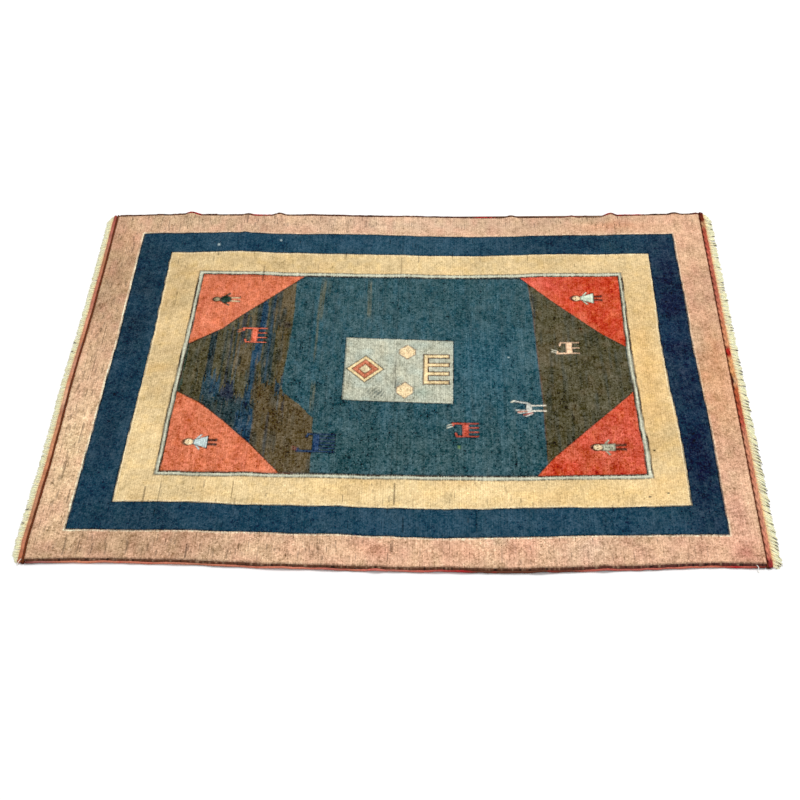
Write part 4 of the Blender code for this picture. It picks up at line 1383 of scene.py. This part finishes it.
def braid_strand(number):
    """One strand of the three at the right end, knobbly in its far half and smoother in its near half."""
    def path(share, cosine, sine):
        place = across_rug(share)
        angle = 2 * math.pi * (BRAID_CYCLES * share + number / 3)
        knobs = 0.07 + 0.09 * np.clip(place * 3 + 0.5, 0, 1)
        bulge = 1 + knobs * np.cos(angle * 3) + wander(share, 60, 0.08, 121 + number)
        thick = BRAID_STRAND * bulge * rounded_end(share, 0.007)
        middle = HALF_LENGTH + SEAM + RIGHT_LINE + RIGHT_RIDGE / 2 + BRAID_SWING * np.sin(angle)
        x = middle + eased(BRAID_JOG, place) + thick * cosine
        z = BRAID_STRAND * 1.25 + BRAID_WEAVE + BRAID_WEAVE * np.sin(2 * angle) + thick * sine
        return np.stack([x, place, np.maximum(z, 0.0)], axis=1)

    def colour(share, cosine, sine):
        place = across_rug(share)
        angle = 2 * math.pi * (BRAID_CYCLES * share + number / 3)
        # Painted shade: each strand is lighter where it rides high and darker on its side towards the pile,
        # with random unevenness added.
        braid_shade_and_tone = 0.92 + 0.16 * np.sin(2 * angle) + wander(share, 150, 0.16, 131 + number)
        braid_shade_and_tone *= 1 - 0.25 * np.clip(-cosine, 0, 1)
        tone = toned(BRAID_TONES, place) * BRAID_FADE * braid_shade_and_tone[:, None]
        return tone * speckled(141 + number, 0.1, len(share))
    return shape_tube("end_braid_right_" + str(number + 1), unit_tube(8, 460), path, colour)


braid = [braid_strand(number) for number in range(3)]

# %% [markdown]
# A low woven strip ties each roll or braid to the pile, under the twining. It is the last of the ground
# weave, and its wefts make small ribs across it.

# %% Web strips
WEB_RIBS = 420


def web_strip(name, middle, width, height):
    """The low strip of ground weave between the pile and the end finish."""
    def path(share, cosine, sine):
        rib = 1 - 0.12 * (np.rint(share * WEB_RIBS * 2) % 2)
        x = middle + width / 2 * cosine
        z = height / 2 + height / 2 * sine * rib
        return np.stack([x, across_rug(share), z], axis=1)

    def colour(share, cosine, sine):
        # Dark brown, partly the wool of the strip and partly painted shade of the groove between the pile
        # and the end finish.
        return dye(76, 28, 18) * speckled(151, 0.12, len(share))
    return shape_tube(name, unit_tube(6, WEB_RIBS * 2 + 1), path, colour)


left_web = web_strip("end_web_left", left_groove, LEFT_LINE + 0.003, 0.0046)
right_web = web_strip("end_web_right", right_groove + 0.003, RIGHT_LINE + 0.01, 0.0042)

# %% [markdown]
# ## Fringes
#
# The fringe is the warps themselves, cut short. They come out under the end band, sag to the floor within a
# few millimetres and lie on it, in locks of six that share most of their slant and length. Two ends of a
# lock may be darkened at their tips as painted shade between the locks, more of them on the right and
# towards the near corner. One thin tube of four sides is copied for every warp end, and then each copy
# gets its own root, slant, length and curl.

# %% Warp ends
LOCKS = 120
ENDS_IN_A_LOCK = 6
END_RINGS = 5
END_RADIUS = 0.00125
ROOT_HEIGHT = 0.0052
CREAM_WOOL = dye(255, 240, 198)
ROOT_WOOL = dye(244, 192, 134)
GREY_WOOL = dye(242, 234, 204)
END_FLATNESS = 0.55
END_MARGIN = 0.004
CORNER_TAPER = 0.045
SHADED_ENDS = 2
SHADED_TIP_LIFT = 0.0008
TIP_SHADOW_DYE = dye(52, 44, 22)
LEFT_SLANTS = ((-0.77, 0.0), (0.77, 0.0))  # place across the rug, slant, with a minus to the near side
RIGHT_SLANTS = (
    (-0.77, -0.62), (-0.3, -0.52), (-0.05, -0.36), (0.15, -0.1), (0.35, 0.05), (0.56, 0), (0.77, -0.25),
)


def fringe(name, direction, root_x, slants, reach, shortest, scatter_by, painted_shade_share, seed):
    """All the warp ends of one short edge in one piece; shortest is a share of how far out they reach."""
    count = LOCKS * ENDS_IN_A_LOCK
    tube = joined(name, unit_tube(4, END_RINGS), count)
    per_end = len(tube.vertices) // count
    rng = np.random.default_rng(seed)
    number = np.arange(len(tube.vertices)) // per_end
    lock = np.arange(count) // ENDS_IN_A_LOCK
    pitch = 2 * (BAND_REACH - END_MARGIN) / count
    roots = -BAND_REACH + END_MARGIN + (np.arange(count) + 0.5) * pitch + rng.normal(0, 0.0005, count)
    slant = eased(slants, roots) + rng.normal(0, scatter_by, count)[lock]
    slant += rng.normal(0, scatter_by * 0.7, count)
    reach_out = rng.uniform(reach * shortest, reach, count)[lock] * rng.uniform(0.9, 1.05, count)
    reach_out = np.clip(reach_out, reach * shortest * 0.9, reach)
    reach_out *= np.clip(0.3 + (BAND_REACH - np.abs(roots)) / CORNER_TAPER, 0, 1)
    curl = rng.normal(0, 0.0012, count)
    layer = rng.uniform(0, 0.001, count)
    lightness = rng.uniform(1.0, 1.14, count)
    greyness = rng.uniform(0.0, 1.0, count) ** 3
    chance = painted_shade_share * (1 - 0.5 * roots / BAND_REACH)
    shaded_tips = (rng.random(LOCKS)[lock] < chance) & (np.arange(count) % ENDS_IN_A_LOCK < SHADED_ENDS)
    layer[shaded_tips] += SHADED_TIP_LIFT / 2

    def path(share, cosine, sine):
        out = reach_out[number] * share
        thick = END_RADIUS * (1 - 0.45 * share ** 2)
        x = root_x + direction * (out + thick * 0.2 * cosine)
        y = roots[number] + out * np.tan(slant[number]) * (0.45 + 0.55 * share)
        y += curl[number] * np.sin(math.pi * share * 1.3) + thick * cosine
        z = (ROOT_HEIGHT - END_RADIUS) * (1 - share) ** 2.2 + layer[number] * (1 - share)
        z += thick * END_FLATNESS * (1 + sine) + SHADED_TIP_LIFT * share * shaded_tips[number]
        return np.stack([x, np.clip(y, -BAND_REACH, BAND_REACH), np.maximum(z, 0.0)], axis=1)

    def colour(share, cosine, sine):
        rooted = np.clip(1.15 - share * 3.0, 0, 1)[:, None]
        greyer = (share ** 2 * greyness[number])[:, None]
        # Painted shade: the outer part of the shaded ends is dyed dark, for the shade between the locks.
        tip_shadow = (np.clip(share * 3.0 - 1.3, 0, 1) * shaded_tips[number])[:, None]
        tone = CREAM_WOOL * (1 - rooted) + ROOT_WOOL * rooted
        tone = tone * (1 - greyer) + GREY_WOOL * greyer
        return (tone * (1 - tip_shadow) + TIP_SHADOW_DYE * tip_shadow) * lightness[number][:, None]
    return shape_tube(name, tube, path, colour)


left_root = -HALF_LENGTH - SEAM - LEFT_LINE - LEFT_RIDGE + 0.003
right_root = HALF_LENGTH + SEAM + RIGHT_LINE + RIGHT_RIDGE - 0.0015
left_reach = left_root + SHIFT_X - left_end_x
right_reach = right_end_x - right_root - SHIFT_X
fringe_left = fringe("fringe_left_ends", -1, left_root, LEFT_SLANTS, left_reach, 0.88, 0.05, 0.1, 161)
fringe_right = fringe("fringe_right_ends", 1, right_root, RIGHT_SLANTS, right_reach, 0.84, 0.025, 0.5, 162)
print("fringe reaches:", round(left_reach, 4), round(right_reach, 4))

# %% [markdown]
# At the two near corners one warp end has worked loose and stands away from the others as a short white
# thread. Each is a tube bent through four places.

# %% Loose threads
THREAD_RADIUS = 0.001
LOOSE_LEFT = (  # x, y, z
    (-1.054, -0.757, 0.008), (-1.057, -0.763, 0.009), (-1.061, -0.77, 0.006), (-1.063, -0.775, 0.0014),
)
LOOSE_RIGHT = (
    (1.016, -0.762, 0.009), (1.021, -0.77, 0.008), (1.018, -0.777, 0.004), (1.022, -0.783, 0.0014),
)


def loose_thread(name, places):
    """One loose white thread through a few places."""
    def path(share, cosine, sine):
        steps = np.linspace(0, 1, len(places))
        x, y, z = (np.interp(share, steps, values) for values in zip(*places))
        around = THREAD_RADIUS * cosine
        return np.stack([x + around, y + THREAD_RADIUS * 0.3 * cosine, z + THREAD_RADIUS * sine], axis=1)

    def colour(share, cosine, sine):
        return np.tile(dye(250, 246, 236), (len(share), 1))
    return shape_tube(name, unit_tube(6, 12), path, colour)


loose_left = loose_thread("fringe_left_loose_thread", LOOSE_LEFT)
loose_right = loose_thread("fringe_right_loose_thread", LOOSE_RIGHT)

# %% [markdown]
# ## Materials
#
# All the wool takes its colour from the dye attribute and differs in its surface. Pile is a forest of cut
# fibre tips: no gloss, a faint sheen, fine speckle and a soft bump. Yarn has a coarser speckle. Noise is
# read from object coordinates, so it keeps its real size on every piece.

# %% Wool and yarn shaders
def new_node(nodes, kind, **values):
    """A shader node with its inputs set; a low line in a name stands for a space."""
    node = nodes.new("ShaderNode" + kind)
    for title, value in values.items():
        node.inputs[title.replace("_", " ")].default_value = value
    return node


def wool(name, speckle_size, speckle, cloud_size, bump, sheen):
    """A matte wool that reads its colour from the dye attribute."""
    material = bpy.data.materials.new(name)
    material.use_nodes = True
    nodes = material.node_tree.nodes
    links = material.node_tree.links
    surface = nodes["Principled BSDF"]
    surface.inputs["Roughness"].default_value = 0.95
    surface.inputs["Specular IOR Level"].default_value = 0.04
    surface.inputs["Sheen Weight"].default_value = sheen
    surface.inputs["Sheen Roughness"].default_value = 0.6
    coordinates = new_node(nodes, "TexCoord")
    dyed = new_node(nodes, "Attribute")
    dyed.attribute_name = "dye"
    fibre = new_node(nodes, "TexNoise", Scale=1 / speckle_size, Detail=3.0, Roughness=0.65)
    broad = new_node(nodes, "TexNoise", Scale=1 / cloud_size, Detail=2.0)
    fine = new_node(nodes, "MapRange", From_Min=0.3, From_Max=0.7, To_Min=1 - speckle, To_Max=1 + speckle)
    soft = new_node(nodes, "MapRange", From_Min=0.3, From_Max=0.7, To_Min=0.94, To_Max=1.06)
    both = new_node(nodes, "Math")
    both.operation = "MULTIPLY"
    tinted = new_node(nodes, "VectorMath")
    tinted.operation = "SCALE"
    raised = new_node(nodes, "Bump", Strength=0.6, Distance=bump)
    for texture in (fibre, broad):
        links.new(coordinates.outputs["Object"], texture.inputs["Vector"])
    links.new(fibre.outputs["Fac"], fine.inputs["Value"])
    links.new(broad.outputs["Fac"], soft.inputs["Value"])
    links.new(fine.outputs["Result"], both.inputs[0])
    links.new(soft.outputs["Result"], both.inputs[1])
    links.new(dyed.outputs["Color"], tinted.inputs[0])
    links.new(both.outputs["Value"], tinted.inputs["Scale"])
    links.new(tinted.outputs["Vector"], surface.inputs["Base Color"])
    links.new(fibre.outputs["Fac"], raised.inputs["Height"])
    links.new(raised.outputs["Normal"], surface.inputs["Normal"])
    return material


knotted_wool = wool("knotted_wool", 0.0022, 0.16, 0.06, 0.0005, 0.02)
ground_weave = wool("ground_weave", 0.003, 0.18, 0.08, 0.0004, 0.02)
wrapped_yarn = wool("wrapped_yarn", 0.0018, 0.2, 0.03, 0.0005, 0.03)
braided_yarn = wool("braided_yarn", 0.002, 0.22, 0.04, 0.0005, 0.03)
warp_wool = wool("warp_wool", 0.0012, 0.12, 0.03, 0.0002, 0.03)
print("materials:", len(bpy.data.materials))

# %% [markdown]
# ## Riding on the body and replacing the solids
#
# The rug has no joints, so every piece rides on the one body. Each piece replaces the solid that it
# dresses, which is hidden, and gets its own material. The foundation is the sheet of cloth, cut to the size
# of the pile, and all the other pieces go with it.

# %% Ride and replace
ends_left = [roll, left_web, *left_twines]
ends_right = [*braid, right_web, *right_twines]
dressed = (
    ("pile", knotted_wool, "rug_body", pile_pieces),
    ("pile", ground_weave, "rug_body", [foundation]),
    ("selvedge", wrapped_yarn, "selvedge_near", selvedges["selvedge_near"]),
    ("selvedge", wrapped_yarn, "selvedge_far", selvedges["selvedge_far"]),
    ("end_band", braided_yarn, "end_band_left", ends_left),
    ("end_band", braided_yarn, "end_band_right", ends_right),
    ("fringe", warp_wool, "fringe_left", [fringe_left, loose_left]),
    ("fringe", warp_wool, "fringe_right", [fringe_right, loose_right]),
)
on_the_sheet = []
for slot_name, material, node, pieces in dressed:
    for piece in pieces:
        piece.data.materials.append(material)
        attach(piece, "root")
        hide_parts(node)
        if piece is not foundation:
            on_the_sheet.append(piece)
print("pieces on the foundation:", len(on_the_sheet))

# %% [markdown]
# ## Floor, light and camera
#
# The rug lies on a plain, nearly white floor under soft studio light: an even white surround, and one large
# lamp high beyond the far right corner that models the ripples.

# %% Stage
FLOOR_SIZE = 44.0
FLOOR_DROP = 0.0004
FLOOR_WHITE = 0.93
SURROUND_LIGHT = 0.72
LAMP_PLACE = (5.4, 6.5, 13.0)
LAMP_SIZE = 4.2
LAMP_POWER = 1400.0
floor = new_piece("studio_floor", grid_mesh("studio_floor", 1, 1, FLOOR_SIZE, FLOOR_SIZE, -FLOOR_DROP))
floor_paint = bpy.data.materials.new("floor_paint")
floor_paint.use_nodes = True
floor_inputs = floor_paint.node_tree.nodes["Principled BSDF"].inputs
floor_inputs["Base Color"].default_value = (FLOOR_WHITE, FLOOR_WHITE, FLOOR_WHITE, 1.0)
floor_inputs["Roughness"].default_value = 0.9
floor.data.materials.append(floor_paint)

world = bpy.data.worlds.new("studio_surround")
bpy.context.scene.world = world
world.use_nodes = True
surround = world.node_tree.nodes["Background"].inputs
surround["Color"].default_value = (1.0, 1.0, 1.0, 1.0)
surround["Strength"].default_value = SURROUND_LIGHT

lamp_data = bpy.data.lights.new("key_lamp", "AREA")
lamp_data.shape = "SQUARE"
lamp_data.size = LAMP_SIZE
lamp_data.energy = LAMP_POWER
lamp = bpy.data.objects.new("key_lamp", lamp_data)
bpy.context.scene.collection.objects.link(lamp)
lamp.location = LAMP_PLACE
lamp.rotation_euler = (-lamp.location).to_track_quat("-Z", "Y").to_euler()
bpy.context.scene.view_settings.view_transform = "Standard"
print("lamp at", LAMP_PLACE)

# %% [markdown]
# The camera looks from the near side at the angle of the photograph. Its place is counted from the middle
# of the pile, as everything is before the rug is laid.

# %% Camera
CAMERA_PLACE = (0.16543, -2.88852, 3.01175)
CAMERA_YAW = math.radians(3.335)
CAMERA_PITCH = math.radians(47.48)
CAMERA_ROLL = math.radians(-2.303)
camera_data = bpy.data.cameras.new("photo_camera")
camera_data.sensor_fit = "HORIZONTAL"
camera_data.sensor_width = 36.0
camera_data.lens = 58.5
camera_data.clip_end = 60.0
camera = bpy.data.objects.new("photo_camera", camera_data)
bpy.context.scene.collection.objects.link(camera)
camera.location = (CAMERA_PLACE[0] + SHIFT_X, CAMERA_PLACE[1] + SHIFT_Y, CAMERA_PLACE[2])
camera.rotation_euler = (
    Matrix.Rotation(CAMERA_YAW, 3, "Z")
    @ Matrix.Rotation(math.pi / 2 - CAMERA_PITCH, 3, "X")
    @ Matrix.Rotation(CAMERA_ROLL, 3, "Z")
).to_euler()
bpy.context.scene.camera = camera
print("camera at", tuple(round(value, 3) for value in camera.location))

# %% [markdown]
# The last cell counts the triangles.

# %% Triangles
triangles = 0
for piece in (foundation, *on_the_sheet):
    piece.data.calc_loop_triangles()
    triangles += len(piece.data.loop_triangles)
print("triangles in all:", triangles)
